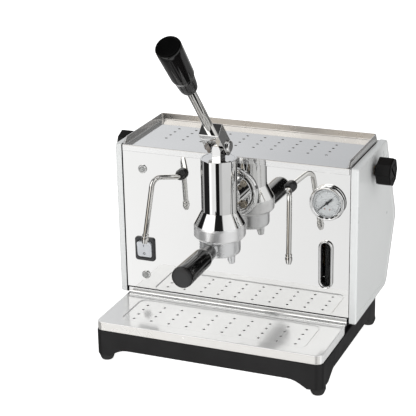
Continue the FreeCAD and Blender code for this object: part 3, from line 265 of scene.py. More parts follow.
def lathe(profile, count=96, closed=False, step=10):
    """Turns (radius, height, corner radius) points about Z. An open profile starts and ends on the axis."""
    bm = bmesh.new()
    rings = []
    for r, z in rounded(profile, closed, step):
        on_axis = r < 1e-6
        rings.append(add_loop(bm, [(0, 0, z)] if on_axis else raised(circle(0, 0, r, count), z)))
    for one, other in zip(rings, rings[1:] + (rings[:1] if closed else [])):
        if min(len(one), len(other)) > 1:
            skin(bm, [one, other])
        elif len(one) != len(other):
            tip, ring = (one[0], other) if len(one) == 1 else (other[0], one)
            for i in range(count):
                bm.faces.new((tip, ring[i], ring[(i + 1) % count]))
    return facing_out(bm)


def bent_line(points, bend, step=7):
    """Straight runs with an arc at each corner: the line of a bent rigid tube."""
    route = [Vector(p) for p in points]
    line = [route[0]]
    for before, corner, after in zip(route, route[1:], route[2:]):
        into, out_of = (corner - before).normalized(), (after - corner).normalized()
        turn = into.angle(out_of)
        first = corner - into * (bend * math.tan(turn / 2))
        centre = corner + (out_of - into).normalized() * (bend / math.cos(turn / 2))
        arm, axis = first - centre, into.cross(out_of).normalized()
        pieces = max(3, int(math.degrees(turn) / step))
        line += [centre + Matrix.Rotation(turn * i / pieces, 3, axis) @ arm for i in range(pieces + 1)]
    line.append(route[-1])
    return line


def tube(line, radius, bore, count=32):
    """A round pipe along a line of points, without twist."""
    ends = [line[0], *line, line[-1]]
    tangents = [(after - before).normalized() for before, after in zip(ends, ends[2:])]
    side = tangents[0].orthogonal().normalized()
    frames = []
    for point, tangent in zip(line, tangents):
        side = (side - tangent * side.dot(tangent)).normalized()
        frames.append((point, side, tangent.cross(side)))

    def ring(point, u, v, r):
        return [point + u * x + v * y for x, y in circle(0, 0, r, count)]

    rings = [ring(*at, radius) for at in frames] + [ring(*at, bore) for at in reversed(frames)]
    return stack(rings, wrap=True)


def merge(*parts):
    """One bmesh from several (bmesh, matrix) pairs or bare bmeshes."""
    whole = bmesh.new()
    for part in parts:
        bm, matrix = part if isinstance(part, tuple) else (part, Matrix())
        mesh = bpy.data.meshes.new("part")
        bm.to_mesh(mesh)
        mesh.transform(matrix)
        whole.from_mesh(mesh)
        bpy.data.meshes.remove(mesh)
        bm.free()
    return whole


def link(name, data):
    """A new object in the scene."""
    obj = bpy.data.objects.new(name, data)
    bpy.context.scene.collection.objects.link(obj)
    return obj


def settled(obj):
    """The object's mesh with its modifiers applied, as a bmesh."""
    mesh = bpy.data.meshes.new_from_object(obj.evaluated_get(bpy.context.evaluated_depsgraph_get()))
    bm = bmesh.new()
    bm.from_mesh(mesh)
    bpy.data.meshes.remove(mesh)
    return bm


def boolean(base, tools, operation="DIFFERENCE"):
    """base with every tool cut away, or joined to it, as one bmesh."""

    def as_object(bm):
        mesh = bpy.data.meshes.new("carve")
        bm.to_mesh(mesh)
        bm.free()
        return link("carve", mesh)

    target, *helpers = [as_object(bm) for bm in (base, *tools)]
    for helper in helpers:
        modifier = target.modifiers.new("carve", "BOOLEAN")
        modifier.operation = operation
        modifier.solver = "EXACT"
        modifier.object = helper
    result = settled(target)
    for obj in (target, *helpers):
        mesh = obj.data
        bpy.data.objects.remove(obj)
        bpy.data.meshes.remove(mesh)
    bmesh.ops.remove_doubles(result, verts=result.verts, dist=1e-4)
    bmesh.ops.dissolve_limit(result, angle_limit=math.radians(0.05), verts=result.verts, edges=result.edges)
    return result


def soften(bm, width, angle, segments, wanted=lambda edge: True):
    """Rounds every edge sharper than an angle, or those that wanted(edge) picks among them."""
    edges = [edge for edge in bm.edges
             if edge.is_manifold and edge.calc_face_angle(0) > math.radians(angle) and wanted(edge)]
    bmesh.ops.bevel(bm, geom=edges, offset=width, segments=segments, profile=0.5, affect="EDGES",
                    clamp_overlap=True)


def moved(bm, matrix):
    bmesh.ops.transform(bm, matrix=matrix, verts=bm.verts)
    return bm


# ---------------------------------------------------------------- materials


def rgba(colour):
    """An opaque colour, given as (red, green, blue) or as one grey."""
    return (*colour, 1) if isinstance(colour, tuple) else (colour, colour, colour, 1)


class Finish:
    """A Principled material with its own noise, so that every surface has grain at the right scale."""

    def __init__(self, name, colour, metallic, roughness, **sockets):
        self.material = bpy.data.materials.new(name)
        self.material.use_nodes = True
        self.tree = self.material.node_tree
        self.shader = self.tree.nodes["Principled BSDF"]
        self.colour = colour
        self.shader.inputs["Base Color"].default_value = rgba(colour)
        self.shader.inputs["Metallic"].default_value = metallic
        self.shader.inputs["Roughness"].default_value = roughness
        for socket, value in sockets.items():
            self.shader.inputs[socket.replace("_", " ")].default_value = value
        self.where = self.tree.nodes.new("ShaderNodeTexCoord").outputs["Object"]
        self.normal = None

    def join(self, output, input_socket):
        self.tree.links.new(output, input_socket)

    def noise(self, per_metre, detail, stretch):
        mapping = self.tree.nodes.new("ShaderNodeMapping")
        mapping.inputs["Scale"].default_value = stretch
        self.join(self.where, mapping.inputs["Vector"])
        node = self.tree.nodes.new("ShaderNodeTexNoise")
        node.inputs["Scale"].default_value = per_metre
        node.inputs["Detail"].default_value = detail
        self.join(mapping.outputs["Vector"], node.inputs["Vector"])
        return node.outputs["Fac"]

    def spread(self, source, low, high, start):
        """Maps a noise's middle range to low..high."""
        node = self.tree.nodes.new("ShaderNodeMapRange")
        node.inputs["From Min"].default_value = start
        node.inputs["From Max"].default_value = 0.7
        node.inputs["To Min"].default_value = low
        node.inputs["To Max"].default_value = high
        self.join(source, node.inputs["Value"])
        return node.outputs["Result"]

    def rough(self, per_metre, low, high, stretch=(1, 1, 1)):
        noise = self.noise(per_metre, 3, stretch)
        self.join(self.spread(noise, low, high, 0.3), self.shader.inputs["Roughness"])
        return self

    def tint(self, per_metre, other, stretch=(1, 1, 1)):
        """Mixes in a second colour."""
        mix = self.tree.nodes.new("ShaderNodeMix")
        mix.data_type = "RGBA"
        mix.inputs["A"].default_value = rgba(self.colour)
        mix.inputs["B"].default_value = rgba(other)
        noise = self.noise(per_metre, 3, stretch)
        self.join(self.spread(noise, 0, 1, 0.35), mix.inputs["Factor"])
        self.join(mix.outputs["Result"], self.shader.inputs["Base Color"])
        return self

    def grain(self, per_metre, depth_mm, strength, stretch=(1, 1, 1)):
        """Adds a bump layer; layers stack."""
        bump = self.tree.nodes.new("ShaderNodeBump")
        bump.inputs["Strength"].default_value = strength
        bump.inputs["Distance"].default_value = depth_mm * 0.001
        self.join(self.noise(per_metre, 2, stretch), bump.inputs["Height"])
        if self.normal is not None:
            self.join(self.normal, bump.inputs["Normal"])
        self.normal = bump.outputs["Normal"]
        self.join(self.normal, self.shader.inputs["Normal"])
        return self


FINISH = {
    # bare metals
    "mirror": Finish("mirror_steel", (0.90, 0.90, 0.893), 1, 0.03)
    .rough(18, 0.018, 0.05).tint(6, (0.875, 0.873, 0.865)).grain(7, 0.05, 0.5),
    "bright": Finish("bright_steel", (0.9, 0.9, 0.895), 0.82, 0.06)
    .rough(25, 0.035, 0.085).tint(9, (0.86, 0.86, 0.855)).grain(12, 0.04, 0.5).grain(900, 0.0012, 0.6),
    # the drip cover's lower front skirt: a duller steel whose beige tint is a painted warm reflection
    "lip": Finish("tray_lip", (0.84, 0.825, 0.8), 0.6, 0.25)
    .rough(30, 0.22, 0.29).tint(20, (0.81, 0.79, 0.76)).grain(900, 0.002, 0.4),
    # the cup tray's back rim: darker, warm-toned steel that paints shade and a warm reflection onto the rim
    "back_rim_painted_shade": Finish("rim_painted_shade", (0.64, 0.61, 0.575), 1, 0.27)
    .rough(30, 0.24, 0.31).tint(20, (0.6, 0.57, 0.535)).grain(900, 0.002, 0.4),
    "tray": Finish("tray_steel", (0.97, 0.97, 0.965), 0.27, 0.12)
    .rough(25, 0.1, 0.15).tint(9, (0.88, 0.88, 0.875)).grain(12, 0.03, 0.4).grain(900, 0.0012, 0.6),
    "brushed": Finish("brushed_steel", (0.74, 0.74, 0.73), 0.7, 0.3)
    .rough(60, 0.22, 0.36, (0.05, 1, 1)).tint(40, (0.66, 0.66, 0.65), (0.1, 1, 1))
    .grain(1500, 0.01, 0.5, (0.02, 1, 1)),
    "chrome": Finish("chrome", 0.91, 1, 0.035)
    .rough(40, 0.02, 0.06).tint(30, (0.86, 0.86, 0.85)).grain(30, 0.03, 0.5),
    "satin": Finish("satin_chrome", 0.95, 0.72, 0.3)
    .rough(30, 0.27, 0.33).tint(25, 0.92).grain(1100, 0.002, 0.4),
    "satin_cup": Finish("satin_cup", (0.84, 0.845, 0.85), 0.82, 0.28)
    .rough(30, 0.25, 0.31).tint(25, (0.8, 0.805, 0.81)).grain(1100, 0.002, 0.4),
    "wand": Finish("wand_steel", (0.86, 0.85, 0.83), 1, 0.05)
    .rough(60, 0.03, 0.09).tint(40, (0.84, 0.83, 0.80)).grain(60, 0.02, 0.5),
    "brass": Finish("boiler_brass", (0.62, 0.43, 0.20), 1, 0.3)
    .rough(45, 0.2, 0.42).tint(25, (0.45, 0.29, 0.13)).grain(300, 0.02, 0.5),
    "copper": Finish("pipe_copper", (0.66, 0.34, 0.20), 1, 0.28)
    .rough(60, 0.2, 0.4).tint(30, (0.48, 0.22, 0.13)).grain(400, 0.015, 0.5),
    "bolt": Finish("zinc_steel", (0.55, 0.5, 0.42), 1, 0.3)
    .rough(120, 0.22, 0.42).tint(90, (0.42, 0.37, 0.3)).grain(900, 0.01, 0.5),
    "spring": Finish("spring_steel", (0.32, 0.32, 0.33), 1, 0.35)
    .rough(150, 0.28, 0.45).tint(90, (0.24, 0.24, 0.25)).grain(900, 0.01, 0.5),
    # coats, plastics and rubber
    "enamel": Finish("white_enamel", (0.80, 0.815, 0.81), 0, 0.3, Coat_Weight=0.9, Coat_Roughness=0.05)
    .rough(20, 0.25, 0.36).tint(5, (0.775, 0.79, 0.785)).grain(500, 0.002, 0.4),
    "base": Finish("black_powder_coat", (0.0105, 0.01, 0.0105), 0, 0.45, Specular_IOR_Level=0.27)
    .rough(40, 0.38, 0.52).tint(12, (0.0145, 0.014, 0.0145)).grain(1400, 0.02, 0.5),
    "rubber": Finish("rubber", 0.014, 0, 0.6)
    .rough(80, 0.5, 0.72).tint(60, 0.024).grain(1800, 0.03, 0.5),
    "bakelite": Finish("black_handle", 0.003, 0, 0.07, Coat_Weight=0.4, Coat_Roughness=0.03)
    .rough(30, 0.05, 0.09).tint(25, (0.005, 0.0045, 0.0045)).grain(20, 0.004, 0.3),
    "cap": Finish("black_cap", (0.02, 0.02, 0.021), 0, 0.35)
    .rough(60, 0.3, 0.4).tint(40, (0.028, 0.028, 0.029)).grain(1200, 0.004, 0.4),
    # a darker, less reflective copy of the cap finish: painted shade for the lever grip's upward cap face
    "cap_painted_shade": Finish("cap_painted_shade", 0.001, 0, 0.3, Specular_IOR_Level=0.06)
    .rough(60, 0.25, 0.35).tint(40, 0.002).grain(1200, 0.003, 0.3),
    "knob": Finish("black_knob", (0.0025, 0.0022, 0.0022), 0, 0.3, Specular_IOR_Level=0.16)
    .rough(60, 0.22, 0.38).tint(40, (0.004, 0.0037, 0.0037)).grain(1200, 0.012, 0.5),
    "moulded": Finish("black_moulding", (0.016, 0.016, 0.017), 0, 0.35)
    .rough(70, 0.28, 0.42).tint(50, (0.024, 0.024, 0.025)).grain(1500, 0.012, 0.5),
    "housing": Finish("switch_housing", (0.03, 0.031, 0.033), 0, 0.32)
    .rough(90, 0.26, 0.4).tint(50, (0.04, 0.042, 0.045)).grain(1600, 0.01, 0.5),
    "rocker": Finish("switch_rocker", (0.66, 0.68, 0.71), 0, 0.3)
    .rough(90, 0.24, 0.38).tint(50, (0.62, 0.64, 0.67)).grain(1600, 0.008, 0.5),
    # printing and glass
    "ink": Finish("dark_ink", (0.03, 0.03, 0.032), 0, 0.5)
    .rough(300, 0.42, 0.6).tint(200, (0.05, 0.05, 0.052)),
    "red_ink": Finish("red_ink", (0.45, 0.12, 0.06), 0, 0.5)
    .rough(300, 0.42, 0.6).tint(200, (0.4, 0.1, 0.05)),
    "dial": Finish("dial_paint", (0.78, 0.79, 0.8), 0, 0.4)
    .rough(120, 0.34, 0.48).tint(80, (0.74, 0.75, 0.76)).grain(2500, 0.004, 0.4),
    "lens": Finish("lamp_lens", (0.62, 0.63, 0.62), 0, 0.08, Transmission_Weight=0.35, IOR=1.49)
    .rough(150, 0.05, 0.14).tint(120, (0.5, 0.5, 0.49)).grain(500, 0.03, 0.5),
    "clear": Finish("clear_glass", (0.97, 0.98, 0.98), 0, 0, Transmission_Weight=1, IOR=1.15)
    .rough(60, 0, 0.015),
    "water_glass": Finish("tube_glass", (0.12, 0.125, 0.125), 0, 0.02, Transmission_Weight=0.85, IOR=1.2)
    .rough(90, 0.01, 0.05),
}

# ---------------------------------------------------------------- pieces


def wear(mesh, finish, sharp):
    """Gives a mesh its material and smooth shading, with edges kept sharp above an angle."""
    mesh.materials.append(FINISH[finish].material)
    mesh.shade_smooth()
    mesh.set_sharp_from_angle(angle=math.radians(sharp))


def piece(name, bm, finish, slot, nodes=(), body="machine", place=Matrix(), sharp=34, weighted=False,
          second=None):
    """Makes a visible piece from a bmesh in mm moved to its place, puts it on its body, and hides the CAD
    nodes it stands for.

    Edges above the sharp angle stay sharp. second is (finish, test): faces whose middle passes the test take
    that finish."""
    mesh = bpy.data.meshes.new(name)
    moved(bm, place)
    if second:
        for face in bm.faces:
            face.material_index = int(second[1](face.calc_center_median()))
    bm.to_mesh(mesh)
    bm.free()
    mesh.transform(TO_METRES)
    wear(mesh, finish, sharp)
    if second:
        mesh.materials.append(FINISH[second[0]].material)
    obj = link(name, mesh)
    if weighted:
        modifier = obj.modifiers.new("normals", "WEIGHTED_NORMAL")
        modifier.keep_sharp = True
        modifier.weight = 100
    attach(obj, body)
    if nodes:
        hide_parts(*nodes)


def dress(node, finish):
    """A CAD node that stays: its material and smooth shading."""
    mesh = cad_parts[node].data
    mesh.materials.clear()
    wear(mesh, finish, 28)


# ---------------------------------------------------------------- base


def plinth():
    """Hollow base, open above in front, with an arch through each side and a post over each foot."""
    low, high = box_mm("base_frame")
    wall, deck, crown = 6, 3.5, 22
    body = slab(rectangle(low.x, high.x, low.y, high.y, 11, 6), low.z, high.z, soft=(0, 1.5), count=4)
    inner = rectangle(low.x + wall, high.x - wall, low.y + wall, high.y - wall, 5)
    cavity = slab(inner, low.z - 5, high.z - deck)
    opening = slab(rectangle(-150, 150, -102, -15, 6), high.z - 10, high.z + 5)
    front = rounded([(-150, 5), (-143.5, 10.3, 4), (-124, crown, 34), (124, crown, 34), (143.5, 10.3, 4),
                     (150, 5)])
    side = rounded([(-88, 5), (-82, 10.5, 6), (-60, crown, 12), (102, crown, 12), (124, 10.5, 6), (130, 5)])
    arches = [moved(slab(front, -FAR, FAR), FRONT), moved(slab(side, -FAR, FAR), ACROSS)]
    shell = boolean(body, [cavity, opening, *arches])
    soften(shell, 0.6, 50, 2, lambda edge: max(v.co.z for v in edge.verts) < high.z - 3)
    post = [(0, low.z + 0.02), (8, low.z + 0.02, 0.6), (8, high.z - deck), (0, high.z - deck)]
    posts = [(lathe(post, 32), shift(x, y, 0)) for x in (-153, 153) for y in (-95, 137)]
    piece("base_frame_shell", merge(shell, *posts), "base", "satin_black_base", ["base_frame"],
          sharp=40, weighted=True)


def feet():
    low, high = box_mm("rubber_feet")
    radius, top = 10.9, high.z - 0.05
    profile = [(0, 3.2), (3.6, 3.2, 0.3), (3.8, 0, 0.6), (7.5, 0, 0.8), (8.6, 1.6, 1), (10.8, 7.4, 1.5),
               (10.6, top, 0.3), (0, top)]
    parts = [(lathe(profile, 48), shift(x, y, 0))
             for x in (low.x + radius, high.x - radius) for y in (low.y + radius, high.y - radius)]
    piece("feet", merge(*parts), "rubber", "foot_rubber", ["rubber_feet"], sharp=40)


# ---------------------------------------------------------------- case

REAR_FOOT, REAR_KNEE, REAR_TOP = (150, 59.4), (195, 154), (139, 281)     # the case's rear edge, as (y, z)


def side_outline(inset, border):
    """The side panel's outline: its front and top edges at one inset, its foot and rear at another."""
    low, high = box_mm("right_side_panel")
    bottom, top, front = low.z + border, high.z - inset, low.y + inset
    (foot_y, foot_z), (knee_y, knee_z), (top_y, top_z) = REAR_FOOT, REAR_KNEE, REAR_TOP
    slope_low = (knee_y - foot_y) / (knee_z - foot_z)
    slope_high = (knee_y - top_y) / (top_z - knee_z)

    def lower_y(z):
        return foot_y + (z - foot_z) * slope_low - border * math.hypot(1, slope_low)

    def upper_y(z):
        return knee_y - (z - knee_z) * slope_high - border * math.hypot(1, slope_high)

    bend_z = knee_z - (lower_y(knee_z) - upper_y(knee_z)) / (slope_low + slope_high)
    r_front, r_foot, r_knee, r_top = [max(0.4, radius - inset) for radius in (3, 16, 16, 6)]
    return rounded([(front, bottom, r_front), (lower_y(bottom), bottom, r_foot),
                    (lower_y(bend_z), bend_z, r_knee), (upper_y(top), top, r_top), (front, top, r_front)],
                   True, 8)


def side_panel(side, name):
    """A pressed, enamelled pan with rolled edges, a sunk border at its foot and rear, and a return flange."""
    inner_x, face_x, thick = 165, 175, 1.5
    roll, flange, border, sunk_by = 2.6, 9, 11, 0.35
    bm = bmesh.new()

    def ring(inset, x, foot_inset=None):
        outline = side_outline(inset, inset if foot_inset is None else foot_inset)
        return add_loop(bm, [(side * x, y, z) for y, z in outline])

    def stem_hole(x):
        return add_loop(bm, [(side * x, y, z) for y, z in circle(KNOB.y, KNOB.z, 7)])

    rings = [ring(flange, inner_x + thick), ring(flange, inner_x), ring(0.5, inner_x),
             ring(0.15, inner_x + 0.15), ring(0, inner_x + 0.5)]
    rings += [ring(inset, face_x - roll + rise) for inset, rise in quarter(roll, 6)]
    skin(bm, rings)
    groove = [(0, 0), (0.5, sunk_by), (1.6, sunk_by), (2.1, 0)]
    sunk = [ring(roll + 0.6, face_x - fall, border + step) for step, fall in groove]
    fill(bm, [rings[-1], sunk[0]])
    skin(bm, sunk)
    hole, back = stem_hole(face_x), stem_hole(face_x - thick)
    fill(bm, [sunk[-1], hole])
    skin(bm, [hole, back])
    behind = ring(thick, face_x - thick)
    fill(bm, [behind, back])
    skin(bm, [behind, ring(thick, inner_x + thick), rings[0]])
    # the left panel's return flange is painted black as the shadow in the gap beside the front panel; the
    # right one stays white enamel
    flange_paint_left_shadow = "moulded" if side < 0 else "enamel"
    piece(f"{name}_side", facing_out(bm), "enamel", "white_enamel", [f"{name}_side_panel"], sharp=30,
          weighted=True, second=(flange_paint_left_shadow, lambda centre: abs(centre.x) < inner_x + 1.6))


def face_plate():
    """The polished front with its flanges, and holes for the neck, gauge, lamps, glands, glass and switch."""
    low, high = box_mm("front_panel")
    thick = 1.5
    holes = [
        circle(GROUP.x, NECK_Z, 26.5, 64), circle(GAUGE.x, GAUGE.z, 22.4, 64),
        *[circle(SWITCH.x, z, 4.6) for z in LAMP_Z], *[circle(x, GLAND_Z, 5.4) for x in GLAND_X],
        obround(GLASS.x, 109.5, 174.8, 8.2),
        rectangle(SWITCH.x - 13, SWITCH.x + 13, SWITCH.z - 15.6, SWITCH.z + 15.6, 1),
    ]
    outline = rectangle(low.x + 0.8, high.x, low.z, high.z, 0.4)
    parts = [(slab(outline, -thick, 0, holes, (0.1, 0.2)), FRONT)]
    for z in (low.z, high.z - thick):
        flange = rounded([(thick, z), (12, z, 0.5), (12, z + thick, 0.5), (thick, z + thick)])
        parts.append((slab(flange, low.x + 0.5, high.x - 0.5, soft=(0.2, 0.2)), ACROSS))
    piece("front_face", merge(*parts), "mirror", "mirror_steel", ["front_panel"], sharp=30, weighted=True)


def back_sheet():
    """Folded back of the case with slots for air and a hole for the mains gland."""
    low, high = box_mm("rear_panel")
    foot, knee, top, lip = 147.8, high.y, 136.8, low.y
    outer = rounded([(foot, low.z), (knee, 154, 4), (top, high.z, 2.4), (lip, high.z)], False, 10)
    inner = rounded([(foot - SHEET, low.z), (knee - SHEET, 154, 3), (top - SHEET, high.z - SHEET, 1.2),
                     (lip, high.z - SHEET)], False, 10)
    sheet = moved(slab(outer + inner[::-1], low.x, high.x), ACROSS)
    count, span = 12, 164
    slots = [slab(obround(span * (i / (count - 1) - 0.5), 188, 252, 2.2, 16), -FAR, -100)
             for i in range(count)]
    gland = slab(circle(-110, 88, 7.2), -FAR, -100)
    piece("back_sheet", boolean(sheet, [moved(merge(*slots), FRONT), moved(gland, FRONT)]), "brushed",
          "case_steel", ["rear_panel"], sharp=30, weighted=True)


def sill():
    """A folded strip: an apron behind the drip tray, a flat step and an upright edge against the front."""
    low, high = box_mm("front_sill")
    front, back, step = low.y, high.y, 59.4
    top, under = 67.2, step - SHEET
    section = rounded([(front, low.z), (front, step, 1.4), (0.2, step, 3.6), (0.2, top, 0.3),
                       (back, top, 0.3), (back, under, 2.6), (front + SHEET, under, 0.4),
                       (front + SHEET, low.z)], True, 10)
    piece("sill", slab(section, low.x, high.x, soft=(0.15, 0.15)), "bright", "bright_steel", ["front_sill"],
          place=ACROSS, sharp=30, weighted=True)


# ---------------------------------------------------------------- trays


def drain_holes(bm, first_y, z, lip):
    """Forty holes through a tray's floor, as two lists of loops: their upper rims and their lower rims."""
    pitch_x, pitch_y, radius = 26, 15.4, 1.9
    upper, lower = [], []
    for i in range(10):
        for j in range(4):
            hole = circle(pitch_x * (i - 4.5), first_y + pitch_y * j, radius, 20)
            rings = [raised(hole, z, -lip), raised(hole, z - 0.2), raised(hole, z - SHEET)]
            loops = [add_loop(bm, ring) for ring in rings]
            skin(bm, loops)
            upper.append(loops[0])
            lower.append(loops[-1])
    return upper, lower


def drip_cover():
    """One pressed sheet: rolled skirt, flat rim and a sunk floor with drain holes."""
    low, high = box_mm("drip_cover")
    top, depth, roll, corner = high.z, 1.1, 1.6, 10
    floor_z = top - depth
    bm = bmesh.new()

    def ring(inset, z):
        front, back = corner - inset, max(0.5, 1.2 - inset * 0.1)
        x0, x1, y0, y1 = low.x + inset, high.x - inset, low.y + inset, high.y - inset
        points = rounded([(x0, y0, front), (x1, y0, front), (x1, y1, back), (x0, y1, back)], True, 9)
        return add_loop(bm, raised(points, z))

    def dish(inset, z):
        half, y0, y1 = 133 - inset, -91 + inset, -19.5 - inset
        return add_loop(bm, raised(rectangle(-half, half, y0, y1, corner + 0.5 - inset, 9), z))

    rings = [ring(SHEET, low.z + 2), ring(SHEET, low.z), ring(0.5, low.z), ring(0, low.z + 0.5)]
    rings += [ring(inset, top - roll + rise) for inset, rise in quarter(roll, 5)]
    skin(bm, rings)
    slope_in, slope_out, steps = 1.8, -1.0, 10
    walls = []
    for share in (step / steps for step in range(steps + 1)):
        fall = 0.5 - 0.5 * math.cos(math.pi * share)
        walls.append(dish(slope_out + (slope_in - slope_out) * share, top - depth * fall))
    fill(bm, [rings[-1], walls[0]])
    skin(bm, walls)
    upper, lower = drain_holes(bm, -80.7, floor_z, 0.35)
    fill(bm, [walls[-1], *upper])
    under = [dish(slope_in, floor_z - SHEET), dish(1.2, floor_z - SHEET + 0.08),
             dish(-0.4, top - SHEET - 0.08), dish(slope_out, top - SHEET)]
    fill(bm, [under[0], *lower])
    skin(bm, under)
    inner = [ring(SHEET, top - SHEET - 0.6), ring(1.8, top - SHEET)]
    fill(bm, [inner[-1], under[-1]])
    skin(bm, [rings[0], *inner])
    # the lower front skirt takes the beige finish: a painted warm reflection
    piece("drip_tray_cover", facing_out(bm), "tray", "bright_steel", ["drip_cover"], "drip_cover", sharp=30,
          weighted=True, second=("lip", lambda centre: centre.z < top - 1.2 and centre.y < low.y + 2.5))


def cup_tray():
    """Roof tray: perforated floor, rims with a hemmed top on three sides and a folded front lip."""
    low, high = box_mm("cup_tray")
    floor_z, rim_z, front, reach = 281, high.z, low.y, 4.6
    wall_start, wall_full = 0.4, 8      # the side walls rise from the front lip between these distances
    bm = bmesh.new()

    def wall(inset, z):
        """An open U of points: up the left side, along the back and down the right side."""
        left, right, back, corner = low.x + inset, high.x - inset, high.y - inset, max(0.3, 5 - inset)
        line = rounded([(left, wall_start), (left, wall_full), (left, back, corner), (right, back, corner),
                        (right, wall_full), (right, wall_start)], False, 18)
        points = []
        for x, y in line:
            drop = max(0, (wall_full - y) / (wall_full - wall_start)) if z > floor_z else 0
            points.append((x, y, z + (floor_z + 0.4 - z) * drop))
        return add_loop(bm, points)

    # the sheet rises, folds over a rounded crest and comes down inside it
    rows = [wall(inset, z) for inset, z in (
        (0, floor_z - SHEET), (0, floor_z + 0.4), (1.35, rim_z - 0.7), (1.5, rim_z - 0.25),
        (1.75, rim_z - 0.06), (2.05, rim_z), (2.35, rim_z - 0.06), (2.6, rim_z - 0.25), (2.75, rim_z - 0.7),
        (3.55, floor_z + 1.4), (3.75, floor_z + 0.6), (4.1, floor_z + 0.15), (reach, floor_z))]
    skin(bm, rows, close=False)
    lip = [(wall_start, floor_z), (-0.3, floor_z - 0.15), (-0.95, floor_z - 0.6), (front, floor_z - 1.3),
           (front, low.z + 0.3), (front + 0.3, low.z), (front + 1, low.z), (front + 1.1, low.z + 0.3),
           (front + 1.1, floor_z - SHEET)]
    left, right, far_left, far_right = [add_loop(bm, [(x, y, z) for y, z in lip])
                                        for x in (low.x + reach, high.x - reach, low.x, high.x)]
    skin(bm, [far_left, left, right, far_right], close=False)
    upper, lower = drain_holes(bm, 44.5, floor_z, 0.3)
    fill(bm, [[left[0], *rows[-1], right[0]], *upper])
    fill(bm, [[left[-1], *rows[0], right[-1]], *lower])
    bmesh.ops.remove_doubles(bm, verts=bm.verts, dist=1e-3)
    # faces of the back rim take the darker, warm steel: painted shade and a painted warm reflection
    piece("cup_tray_sheet", facing_out(bm), "bright", "bright_steel", ["cup_tray"], "cup_tray", sharp=30,
          weighted=True, second=("back_rim_painted_shade", lambda centre: centre.z > floor_z + 0.2 and centre.y > high.y - 4.5))


# ---------------------------------------------------------------- group


def group():
    """Cylinder with its bell, neck and flange as one casting, the ring round the flange, and the plug."""
    low, high = box_mm("group_body")
    bottom, bore, home = low.z, 21, shift(GROUP.x, GROUP.y, 0)
    cap_z, seat_z, lug_z = 285.5, 205, 191.4
    outer = [(28.6, bottom, 0.3), (32.2, bottom, 1.2), (34.6, bottom + 3.4, 1.6), (34.6, 203.6, 1.6),
             (33.6, 206.4, 1.2), (24, 224.6, 3), (24, high.z, 0.7)]
    inner = [(bore + 0.5, high.z, 0.4), (bore + 0.5, cap_z), (bore, cap_z), (bore, seat_z), (29.4, seat_z),
             (29.4, 198.6), (31.4, 198.6), (31.4, lug_z), (28.6, lug_z)]
    neck = lathe([(0, 0), (16.5, 0), (16.5, 42), (0, 42)], 64)
    flange = lathe([(0, -12.2), (26, -12.2, 0.5), (26, 6, 1.2), (17, 6, 2), (0, 6)])
    arms = [moved(neck, shift(0, 64, NECK_Z) @ FRONT), moved(flange, shift(0, 56, NECK_Z) @ FRONT)]
    piece("group_casting", boolean(lathe(outer + inner, 128, True, 8), arms, "UNION"), "chrome", "chrome",
          ["group_body"], place=home, weighted=True,
          second=("satin", lambda centre: centre.z < 206 and centre.y < -20))

    ring = lathe([(27, 0), (34, 0, 0.3), (34, 1.8, 0.8), (32.6, 4.4, 1.4), (29.4, 4.6, 1.2), (27, 2.4, 0.6)],
                 128, True)
    piece("flange_ring", ring, "chrome", "chrome", ["group_flange_ring"],
          place=shift(GROUP.x, 0, NECK_Z) @ FRONT, sharp=40)
    rod_slot = rectangle(-6.35, 6.35, -8.85, 8.85, 1.2)
    piece("group_plug", slab(circle(0, 0, 21.4, 96), cap_z, high.z - 0.15, [rod_slot], (0, 0.5)), "chrome",
          "chrome", ["group_cap"], place=home, sharp=40, weighted=True)


def hex_bolts():
    """Six bolts round the boiler's end plate and four through the group's flange."""
    plate_low, plate_high = box_mm("boiler_end_plate")
    plate_radius = (plate_high.y - plate_low.y) / 2

    def bolt():
        head = slab([polar(4.6, 60 * i) for i in range(6)], 0.9, 4, soft=(0.2, 0.6))
        return merge(head, lathe([(0, 0), (4.75, 0, 0.1), (4.75, 0.9, 0.2), (0, 0.9)], 32))

    parts = []
    for i in range(6):
        y, z = polar(63.5, 60 * i + 30)
        centre = shift(plate_high.x, plate_low.y + plate_radius + y, plate_low.z + plate_radius + z)
        parts.append((bolt(), centre @ spin(90, "Y")))
    for i in range(4):
        x, z = polar(21.4, 90 * i + 45)
        parts.append((bolt(), shift(GROUP.x + x, -6, NECK_Z + z) @ FRONT))
    piece("hex_bolts", merge(*parts), "bolt", "zinc_bolts", ["flange_bolts"], sharp=30, weighted=True)


